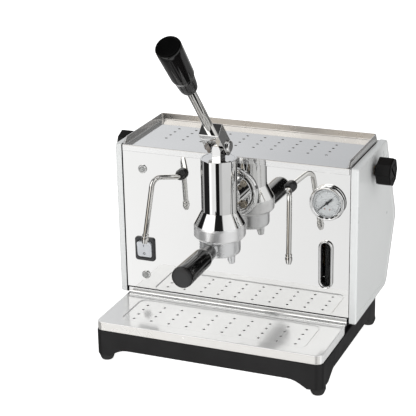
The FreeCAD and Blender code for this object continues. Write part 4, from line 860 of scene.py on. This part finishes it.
def portafilter():
    """Cup with two lugs, the spout under it, and its handle and cap."""
    low, high = box_mm("portafilter_body")
    home, axis_z, bottom, top = shift(GROUP.x, GROUP.y, 0), middle("portafilter_handle").z, low.z, high.z
    cup = lathe([(4, bottom + 3, 0.2), (22.2, bottom + 3), (22.2, bottom, 0.2), (24, bottom + 0.2, 1.2),
                 (26.6, bottom + 1.7, 2), (27.5, bottom + 5, 3), (27.5, top, 0.4), (24.2, top, 0.4),
                 (24.2, 174, 2), (20, 170, 1), (4, 170, 0.2)], 128, True, 8)
    lugs = [slab(rectangle(*xs, -7, 7), 192, 197, soft=(0.3, 0.3)) for xs in ((25, 30.4), (-30.4, -25))]
    collar = moved(lathe([(0, 20), (7.5, 20), (7.5, 34.7), (0, 34.7)], 48), shift(0, 0, axis_z) @ FRONT)
    piece("portafilter_cup", boolean(cup, [*lugs, collar], "UNION"), "satin_cup", "chrome",
          ["portafilter_body"], "portafilter", home, weighted=True)

    plate_radius = 21.9
    plate = lathe([(0, bottom + 0.05), (plate_radius - 0.3, bottom + 0.05, 0.4),
                   (plate_radius, bottom + 0.4, 0.2), (plate_radius, bottom + 2.9), (0, bottom + 2.9)])
    tips = []
    for side in (-1, 1):
        tip = lathe([(0, 14.6), (6.15, 14.6), (6.1, 13.6), (5.2, 6, 14), (4.2, 1.2, 2), (3.7, 0.1, 0.6),
                     (2.4, 0.1, 0.3), (2.4, 7, 0.4), (0, 7)], 48)
        tips.append(moved(tip, shift(side * 16.6, 0, bottom - 13.6) @ spin(-8 * side, "Y")))
    spout = boolean(plate, tips, "UNION")

    def at_root(vert):
        return abs(vert.co.z - bottom) < 0.2 and math.hypot(vert.co.x, vert.co.y) < plate_radius - 0.6

    soften(spout, 0.9, 50, 3, lambda edge: all(at_root(vert) for vert in edge.verts))
    piece("spout", spout, "satin_cup", "chrome", ["twin_spout"], "portafilter", home, weighted=True)

    reach = GROUP.y - box_mm("portafilter_handle_cap")[0].y
    out = shift(GROUP.x, GROUP.y, axis_z) @ FRONT
    grip = lathe([(0, 35), (8.2, 35, 0.8), (9.7, 36.8, 1.2), (10.6, 42, 8), (12, 57, 6), (13.7, 63, 5),
                  (14.5, reach - 12, 40), (14.5, reach - 4, 4), (13.9, reach - 1.5, 1), (12.9, reach - 1.3),
                  (0, reach - 1.3)])
    piece("filter_handle", grip, "bakelite", "handle_black", ["portafilter_handle"], "portafilter", out)
    cap = lathe([(0, reach - 1.5), (13, reach - 1.5), (13, reach - 1, 0.4), (12.2, reach - 0.5, 0.8),
                 (8, reach, 5), (0, reach)])
    piece("filter_handle_cap", cap, "cap", "handle_black", ["portafilter_handle_cap"], "portafilter", out)


def lever():
    """Fork, rod, grip and cap, all made upright about the pin and then leant forward."""
    lean = shift(*PIN) @ spin(LEVER_LEAN, "X")
    gap, half = 6.3, 9.9
    heel = [(half, -4.4), (9.55, -7.4), (7.6, -10.9), (4.4, -13.3)]
    side = rounded([(-half, 39.6, 1), (half, 39.6, 1), *heel, (0, -14.3), *[(-y, z) for y, z in heel[::-1]]],
                   True, 15)
    cutters = [
        moved(slab(rectangle(-gap, gap, -30, 27, 0.8), -40, 40), FRONT),
        moved(lathe([(0, -20), (5.05, -20), (5.05, 20), (0, 20)], 48), spin(90, "Y")),
        lathe([(0, 30), (6, 30), (6, 45), (0, 45)], 48),
    ]
    fork = boolean(moved(slab(side, -13.75, 13.75, soft=(0.5, 0.5)), ACROSS), cutters)
    soften(fork, 0.5, 60, 2, lambda edge: all(abs(abs(vert.co.x) - gap) < 0.01 for vert in edge.verts))
    piece("fork", fork, "chrome", "chrome", ["lever_fork"], "lever", lean, 32, True)
    rod = lathe([(0, 28.6), (6, 28.6), (6, 172), (0, 172)], 64)
    piece("rod", rod, "wand", "chrome", ["lever_rod"], "lever", lean)

    start, end, bore = 133, 223.67, 6.02
    grip = lathe([(bore, start + 0.4), (6.6, start, 0.3), (8.6, start + 0.1, 1.2), (10.8, start + 2.4, 2.5),
                  (11.8, start + 9, 12), (13.2, start + 26, 5), (14.8, start + 31, 6), (16.3, end - 8, 40),
                  (16.3, end - 0.9, 2), (15.5, end - 0.1, 0.5), (14.7, end - 0.1, 0.1), (14.7, end - 0.6),
                  (14.7, end - 2), (bore, end - 2)], 96, True)
    piece("grip", grip, "bakelite", "handle_black", ["lever_grip"], "lever", lean)
    cap = lathe([(0, end - 0.6), (14.6, end - 0.6), (14.6, end + 0.7, 0.3), (13.6, end + 0.9, 0.6),
                 (12.6, end + 0.6, 2), (0, end + 0.45)])
    # the grip cap takes the darker copy of the cap finish: painted shade on its upward face
    piece("grip_cap", cap, "cap_painted_shade", "handle_black", ["lever_grip_cap"], "lever", lean)


def pin_and_rod():
    head = [(5, 13.8), (8, 13.8, 0.3), (8, 16.4, 0.8), (6.8, 17.6, 0.8), (0, 17.6)]
    pin = lathe([(r, -z, *bend) for r, z, *bend in head[::-1]] + head, 64)
    piece("pin", pin, "chrome", "chrome", ["lever_pin"], "piston", shift(*PIN) @ spin(90, "Y"))

    half, shoulder, flat_top = 8.5, 262, PIN.z + 8.5
    side = rounded([(-half, shoulder), (half, shoulder), (half, flat_top, 8.3), (-half, flat_top, 8.3)],
                   True, 9)
    flat = moved(slab(side, -6, 6, [circle(0, PIN.z, 5, 48)], (0.4, 0.4)), ACROSS)
    rod = lathe([(0, 214), (6, 214), (6, shoulder), (0, shoulder)], 48)
    piece("piston_rod_head", merge(flat, rod), "chrome", "chrome", ["piston_rod"], "piston",
          shift(GROUP.x, GROUP.y, 0), 32, True)


# ---------------------------------------------------------------- wands and valves


def wand(name, gland_x, corner, end):
    """A pipe bent twice and its nozzle; corner and end are measured from the gland."""
    nozzle_length = 14
    corner, end = Vector(corner), Vector(end)
    along = (end - corner).normalized()
    joint = end - along * nozzle_length
    home = shift(gland_x, 0, GLAND_Z)
    pipe = tube(bent_line([(0, 6, 0), (0, -13, 0), corner, joint], 13), 3.5, 2.3)
    piece(f"{name}_wand_pipe", pipe, "wand", "chrome", [f"{name}_wand"], f"{name}_wand", home)
    sleeve = lathe([(0.8, 0.2), (3.9, 0.2, 0.3), (4.4, 1, 0.3), (4.4, 3.4, 0.3), (4.1, 3.8, 0.2),
                    (4.1, 4.4, 0.2), (4.8, 5, 0.3), (4.8, 8, 0.4), (3.6, 12.4, 0.6),
                    (2.9, nozzle_length, 0.5), (0.8, nozzle_length, 0.2)], 48, True)
    turn = along.to_track_quat("Z", "Y").to_matrix().to_4x4()
    piece(f"{name}_nozzle", sleeve, "wand", "chrome", [f"{name}_wand_nozzle"], f"{name}_wand",
          home @ Matrix.Translation(joint) @ turn, 30)


def glands():
    profile = [(3.9, -7), (5, -7), (5, 0), (7.7, 0, 0.4), (7.7, 4.5, 3), (6.2, 8.8, 3), (5, 10.7, 0.6),
               (3.9, 10.7, 0.3)]
    parts = [(lathe(profile, 64, True), shift(x, 0, GLAND_Z) @ FRONT) for x in GLAND_X]
    piece("glands", merge(*parts), "moulded", "gland_black", ["wand_glands"], sharp=40)


def valve_knob(side, name):
    """Eight-sided knob: flats with rounded edges, a shallow dished end and a collar behind."""
    length = 20.4
    outline = rounded([(*polar(19.8, 45 * i), 1.6) for i in range(8)], True, 15)
    stations = [(inset, 1.2 - rise) for inset, rise in reversed(quarter(1.2, 4))]
    stations += [(inset, length - 1.6 + rise) for inset, rise in quarter(1.6, 5)]
    stations += [(4, length), (4.8, length - 0.5), (7, length - 0.7)]
    knob = stack([raised(outline, z, inset) for inset, z in stations])
    collar = lathe([(3.55, -4), (9, -4, 0.6), (9, 0.3), (3.55, 0.3)], 48, True)
    out = spin(90 * side, "Y")
    piece(f"{name}_knob", merge(knob, collar), "knob", "knob_black", [f"{name}_valve_knob"], f"{name}_valve",
          shift(181 * side, KNOB.y, KNOB.z) @ out, 32, True)
    stem = lathe([(0, 0), (3.5, 0), (3.5, 28, 0.2), (3.5, 43), (0, 43)], 32)
    piece(f"{name}_stem", stem, "bolt", "zinc_bolts", [f"{name}_valve_stem"], f"{name}_valve",
          shift(148 * side, KNOB.y, KNOB.z) @ out)


# ---------------------------------------------------------------- gauge, sight glass, switch and lamps


def numeral(text, size, x, y, z):
    curve = bpy.data.curves.new("numeral", "FONT")
    curve.body = text
    curve.size = size
    curve.align_x = "CENTER"
    curve.align_y = "CENTER"
    curve.extrude = 0.04
    obj = link("numeral", curve)
    bm = settled(obj)
    bpy.data.objects.remove(obj)
    bpy.data.curves.remove(curve)
    return moved(bm, shift(x, y, z))


def gauge_marks():
    """Thirty-one strokes, the arc outside them and four numerals, printed just above the dial."""
    first, sweep, low, high = 225, -270, 2.98, 3.06
    marks = []
    for i in range(31):
        degrees = first + sweep * i / 30
        inner, half = (13.6, 0.28) if i % 5 == 0 else (14.8, 0.14)
        out = Vector(polar(1, degrees))
        across = Vector((-out.y, out.x)) * half
        corners = [out * inner - across, out * 16.2 - across, out * 16.2 + across, out * inner + across]
        marks.append(slab([tuple(corner) for corner in corners], low, high))
    arcs = [[polar(radius, first + sweep * i / 60) for i in range(61)] for radius in (16.35, 16.6)]
    marks.append(slab(arcs[0] + arcs[1][::-1], low, high))
    marks += [numeral(str(number), 3.4, *polar(11, first + sweep * number / 3), 3.02) for number in range(4)]
    return merge(*marks)


def gauge():
    place = shift(GAUGE.x, 0, GAUGE.z) @ FRONT
    case = lathe([(0, -24), (8, -24, 0.4), (8, -18, 0.4), (22, -18, 0.8), (22, 0), (23.6, 0, 0.3),
                  (24, 1.2, 0.5), (24, 5.2, 1.6), (22.8, 8.2, 1.4), (21.2, 8.4, 0.8), (19.4, 6.6, 0.4),
                  (18.9, 5.4, 0.3), (18.9, 2.2), (0, 2.2)], 128, False, 8)
    dial = slab(circle(0, 0, 18.8, 96), 2.25, 3, [circle(0, 0, 1.2, 24)], (0, 0.1))
    dots = [slab(circle(x, y, 0.85, 20), 2.98, 3.1) for x, y in ((-3.4, -8.2), (3.6, -9))]
    half = [(0.2, -17), (0.5, -12), (0.85, 0), (1.5, 7.6), (1.2, 9)]
    arm = slab([(-x, y) for x, y in half[::-1]] + half, 4.2, 4.9, soft=(0.05, 0.08))
    hub = lathe([(0, 2.5), (0.8, 2.5), (0.8, 3.3), (2.1, 3.3, 0.2), (2.2, 5, 0.4), (0.9, 5.5, 0.4),
                 (0, 5.55)], 40)
    glass = lathe([(0, 6), (19, 6), (19, 6.5, 0.2), (13, 6.8, 20), (0, 6.95)])
    piece("gauge_body", case, "chrome", "chrome", ["gauge_case"], place=place, sharp=40)
    piece("gauge_face", dial, "dial", "dial_face", ["gauge_dial"], place=place, sharp=40)
    piece("gauge_marks", gauge_marks(), "ink", "needle_black", place=place, sharp=40)
    piece("gauge_dots", merge(*dots), "red_ink", "needle_black", place=place, sharp=40)
    piece("needle_arm", merge(arm, hub), "ink", "needle_black", ["gauge_needle"], "needle",
          place @ spin(-49, "Z"), 40)
    piece("gauge_window", glass, "clear", "clear_glass", ["gauge_glass"], place=place, sharp=40)


def sight_glass():
    low, high, full = box_mm("sight_glass_bezel")[0].z, box_mm("sight_glass_bezel")[1].z, 10
    section = [(5.8, -5.5), (5.8, -2), (6, 0.2), (6.5, 1.8), (7.2, 3), (7.9, 3.65), (8.6, 3.9), (9.3, 3.5),
               (9.8, 2.6), (full, 1.6), (full, 0.6), (9.9, 0), (8, 0), (8, -5.5)]
    rings = [raised(obround(GLASS.x, low + full - radius, high - full + radius, radius, 48), z)
             for radius, z in section]
    piece("sight_bezel", stack(rings, wrap=True), "chrome", "chrome", ["sight_glass_bezel"], place=FRONT,
          sharp=40)
    centre = middle("sight_glass_tube")
    glass = lathe([(3.2, 104, 0.2), (4.6, 104, 0.3), (4.6, 180, 0.3), (3.2, 180, 0.2)], 48, True)
    piece("level_tube", glass, "water_glass", "clear_glass", ["sight_glass_tube"],
          place=shift(centre.x, centre.y, 0))


def switch():
    """Rounded frame with a well, the rocker in it, and the marks on the rocker."""
    home = shift(SWITCH.x, 0, SWITCH.z)
    bm = bmesh.new()

    def loops(outline, stations):
        rings = [add_loop(bm, raised(outline, z, inset)) for inset, z in stations]
        skin(bm, rings)
        return rings

    frame_rings = loops(rectangle(-15, 15, -17.5, 17.5, 4, 9),
                        [(0, 0)] + [(inset, 1.5 + rise) for inset, rise in quarter(1.4, 4)])
    well = loops(rectangle(-11.3, 11.3, -13.2, 13.2, 4.4, 9),
                 [(-0.5, 2.9), (-0.15, 2.75), (0, 2.4), (0, -13)])
    shell = loops(rectangle(-12.8, 12.8, -15.4, 15.4, 1), [(0, 0), (0, -20)])
    fill(bm, [frame_rings[-1], well[0]])
    fill(bm, [frame_rings[0], shell[0]])
    bm.faces.new(well[-1])
    bm.faces.new(shell[-1])
    piece("switch_frame", facing_out(bm), "housing", "moulded_black", ["power_switch_housing"],
          place=home @ FRONT, weighted=True)

    half = 10.8
    # drawn with its first axis out of the panel and its second up
    side = rounded([(-2, -11.6), (-7, -5), (-7, 5), (-2, 11.6), (6.5, 11.85, 1.2), (4.7, 4, 9), (4.1, -4, 9),
                    (3.2, -11.85, 1)], True, 10)
    upright = Matrix(((0, 0, 1, 0), (-1, 0, 0, 0), (0, 1, 0, 0), (0, 0, 0, 1)))
    plan = moved(slab(rectangle(-half, half, -12.1, 12.1, 4.2, 9), -12, 12), FRONT)
    rocker = boolean(moved(slab(side, -half, half), upright), [plan], "INTERSECT")
    soften(rocker, 0.6, 35, 3)
    piece("switch_rocker", rocker, "rocker", "switch_grey", ["power_switch_rocker"], "rocker", home,
          weighted=True)
    on = slab(rectangle(-0.45, 0.45, -1.9, 1.9, 0.2), 0, 0.12)
    off = slab(circle(0, 0, 1.8), 0, 0.12, [circle(0, 0, 1.05, 24)])
    marks = merge((on, shift(-0.5, -5.35, 6) @ spin(12, "X") @ FRONT),
                  (off, shift(-0.5, -3.95, -6.2) @ spin(5, "X") @ FRONT))
    piece("switch_marks", marks, "ink", "switch_grey", (), "rocker", home)


def lamps():
    bezel = [(0, -14), (4.2, -14, 0.3), (4.2, 0), (5.9, 0, 0.2), (LAMP_RADIUS, 0.6, 0.2),
             (LAMP_RADIUS, 1.5, 0.5), (5.2, 2.5, 0.5), (4.5, 2.5, 0.3), (4.4, 1.6), (0, 1.6)]
    lens = [(0, 1.65), (4.35, 1.65), (4.3, 2.6, 0.2), (3.4, 3.9, 0.4), (2.2, 4.5, 0.2), (0, 4.75)]
    places = [shift(SWITCH.x, 0, z) @ FRONT for z in LAMP_Z]
    bezels = merge(*[(lathe(bezel, 64), place) for place in places])
    lenses = merge(*[(lathe(lens, 10), place) for place in places])
    piece("lamp_bezels", bezels, "chrome", "chrome", ["pilot_lamps"])
    piece("lamp_lenses", lenses, "lens", "lamp_lens", sharp=20)


# ---------------------------------------------------------------- build

plinth()
feet()
for sign, word in ((-1, "left"), (1, "right")):
    side_panel(sign, word)
    valve_knob(sign, word)
face_plate()
back_sheet()
sill()
drip_cover()
cup_tray()
group()
hex_bolts()
portafilter()
lever()
pin_and_rod()
wand("left", -75, (-20.5, -50, 9), (-26, -72, -79))
wand("right", 82, (14.5, -46, 11), (21, -68, -82))
glands()
gauge()
sight_glass()
switch()
lamps()

DRESSED = {
    "base": ["chassis_pan", "boiler_stands"],
    "brass": ["boiler_shell", "boiler_end_plate", "safety_valve", "sight_glass_fittings", "valve_bodies",
              "piston"],
    "copper": ["heating_element", "pipework"],
    "moulded": ["filler_cap", "pressurestat", "mains_gland"],
    "bright": ["drip_basin", "shower_screen", "filter_basket"],
    "rubber": ["group_gasket", "piston_seals"],
    "spring": ["group_spring"],
}
for finish_name, node_names in DRESSED.items():
    for node_name in node_names:
        dress(node_name, finish_name)

# ---------------------------------------------------------------- floor, light and camera


def floor():
    material = bpy.data.materials.new("pale_floor")
    material.use_nodes = True
    shader = material.node_tree.nodes["Principled BSDF"]
    shader.inputs["Base Color"].default_value = rgba(0.85)
    shader.inputs["Roughness"].default_value = 0.9
    shader.inputs["Specular IOR Level"].default_value = 0
    shader.inputs["Emission Color"].default_value = rgba(1)
    shader.inputs["Emission Strength"].default_value = 0.85
    half, bm = 6, bmesh.new()
    bm.faces.new(add_loop(bm, raised(rectangle(-half, half, -half, half), -0.0005)))
    mesh = bpy.data.meshes.new("floor")
    bm.to_mesh(mesh)
    bm.free()
    mesh.materials.append(material)
    obj = link("floor", mesh)
    obj.visible_glossy = False


def soft_light(name, at, power, size):
    """A square lamp aimed at the middle of the machine's case and unseen in reflections."""
    light = bpy.data.lights.new(name, "AREA")
    light.shape = "RECTANGLE"
    light.size = light.size_y = size
    light.energy = power
    obj = link(name, light)
    obj.location = at
    obj.rotation_mode = "QUATERNION"
    obj.rotation_quaternion = (Vector((0, 0, 0.15)) - Vector(at)).to_track_quat("-Z", "Y")
    obj.visible_glossy = False


BROWN = (0.16, 0.125, 0.1)
BLUISH, PALE_BLUE = (0.48, 0.49, 0.51), (0.76, 0.77, 0.79)
WHITE_CARD = (1.55, 1.545, 1.53)
# what reflections see in four bands, from below the horizon to overhead, as (bearing in degrees, grey or
# colour); bearing 0 is in front of the machine and 90 at its right
BELOW = [
    (-180, 0.24), (-150, 0.2), (-128, 0.2), (-112, 0.07), (-99, 0.14), (-94, 0.5), (-88, 0.35), (-84, 0.014),
    (-43, 0.016), (-39, 1.25), (-30, 1.2), (-27, 1.0), (-16, 0.86), (-0.5, 0.95), (2.5, 0.008), (23, 0.008),
    (25.5, 0.58), (30, 0.46), (38, 0.5), (44, 0.66), (94, 0.66), (104, 0.72), (108, 0.012), (135, 0.012),
    (140, 0.34), (160, 0.2), (180, 0.24)]
LEVEL = [
    (-180, 0.85), (-140, 0.85), (-122, 0.3), (-108, 0.3), (-90, 0.02), (-50, 0.02), (-44, (0.66, 0.61, 0.54)),
    (-4, (0.64, 0.59, 0.52)), (0, 0.008), (30, 0.008), (36, 0.6), (100, 0.66), (108, 0.012), (136, 0.02),
    (146, (0.06, 0.045, 0.038)), (166, (0.05, 0.036, 0.03)), (172, 0.3), (180, 0.85)]
ABOVE = [
    (-180, BLUISH), (-168, (0.5, 0.51, 0.53)), (-163, (0.53, 0.54, 0.56)), (-158, (0.66, 0.67, 0.69)),
    (-152, PALE_BLUE), (-140, PALE_BLUE), (-104, 0.4), (-97, 0.3), (-92, 0.01), (-68, 0.012),
    (-62, WHITE_CARD), (-8, WHITE_CARD), (-4, 0.012), (37, 0.012), (42, 0.85), (99, 0.95), (106, 0.03),
    (114, 0.012), (119, 0.14), (126, 0.14), (131, 0.012), (148, 0.02), (153, 0.06), (168, 0.06), (174, 0.4),
    (180, BLUISH)]
TOP = [
    (-180, BROWN), (-122, BROWN), (-112, 0.66), (-84, 0.66), (-76, 0.05), (-34, 0.05), (-26, 0.66),
    (-10, 0.66), (-4, 0.05), (37, 0.05), (44, 0.66), (130, 0.66), (150, BROWN), (180, BROWN)]


def studio_world():
    """White for the camera, even light for diffuse surfaces, and cards with dark gaps for reflections."""
    world = bpy.data.worlds.new("studio")
    bpy.context.scene.world = world
    world.use_nodes = True
    tree = world.node_tree
    tree.nodes.clear()
    make, wire = tree.nodes.new, tree.links.new

    def combine(kind, operation, values, output):
        """A node of two or three inputs, each fed by a link or set to a number."""
        node = make(kind)
        if operation:
            node.operation = operation
        for socket, value in zip(node.inputs, values):
            if isinstance(value, (int, float)):
                socket.default_value = value
            else:
                wire(value, socket)
        return node.outputs[output]

    def maths(operation, *values):
        return combine("ShaderNodeMath", operation, values, "Value")

    def background(colour, strength):
        node = make("ShaderNodeBackground")
        node.inputs["Strength"].default_value = strength
        if isinstance(colour, (int, float)):
            node.inputs["Color"].default_value = rgba(colour)
        else:
            wire(colour, node.inputs["Color"])
        return node.outputs["Background"]

    def ramp(stops):
        node = make("ShaderNodeValToRGB")
        elements = node.color_ramp.elements
        elements.remove(elements[-1])
        for index, (degrees, value) in enumerate(stops):
            position = (degrees + 180) / 360
            element = elements.new(position) if index else elements[0]
            element.position = position
            element.color = rgba(value)
        wire(bearing, node.inputs["Fac"])
        return node.outputs["Color"]

    def mix(start, stop, lower, upper):
        """lower changes to upper between two heights, in degrees."""
        edge = make("ShaderNodeMapRange")
        edge.interpolation_type = "SMOOTHSTEP"
        edge.inputs["From Min"].default_value = math.radians(start)
        edge.inputs["From Max"].default_value = math.radians(stop)
        wire(height, edge.inputs["Value"])
        node = make("ShaderNodeMix")
        node.data_type = "RGBA"
        wire(edge.outputs["Result"], node.inputs["Factor"])
        wire(lower, node.inputs["A"])
        wire(upper, node.inputs["B"])
        return node.outputs["Result"]

    split = make("ShaderNodeSeparateXYZ")
    wire(make("ShaderNodeTexCoord").outputs["Generated"], split.inputs["Vector"])
    angle = maths("ARCTAN2", split.outputs["X"], maths("MULTIPLY", split.outputs["Y"], -1))
    bearing = maths("ADD", maths("DIVIDE", angle, 2 * math.pi), 0.5)
    height = maths("ARCSINE", split.outputs["Z"])
    sides = mix(5, 12, mix(-14, -6, ramp(BELOW), ramp(LEVEL)), ramp(ABOVE))
    reflected = background(mix(48, 60, sides, ramp(TOP)), 1)
    path = make("ShaderNodeLightPath").outputs
    bounced = maths("MAXIMUM", path["Is Glossy Ray"], path["Is Transmission Ray"])
    even, plain = background(1, 0.62), background(1, 1)
    lit = combine("ShaderNodeMixShader", None, (bounced, even, reflected), "Shader")
    shown = combine("ShaderNodeMixShader", None, (path["Is Camera Ray"], lit, plain), "Shader")
    wire(shown, make("ShaderNodeOutputWorld").inputs["Surface"])


def camera():
    data = bpy.data.cameras.new("camera")
    data.sensor_width = 36
    data.lens = 123.72
    data.clip_start, data.clip_end = 0.05, 50
    eye = TO_METRES @ Vector((671.7, -1691.3, 876.4))
    target = TO_METRES @ Vector((-37.4, 0, 202.1))
    roll = -1.143
    aim = (target - eye).to_track_quat("-Z", "Y").to_matrix().to_4x4()
    obj = link("camera", data)
    obj.matrix_world = Matrix.Translation(eye) @ aim @ spin(roll, "Z")
    bpy.context.scene.camera = obj
    bpy.context.scene.view_settings.view_transform = "Standard"


floor()
soft_light("key", (-0.9, -1.5, 1.9), 4.8, 1.4)
soft_light("fill", (1.6, -0.8, 1.3), 4, 1.2)
studio_world()
camera()
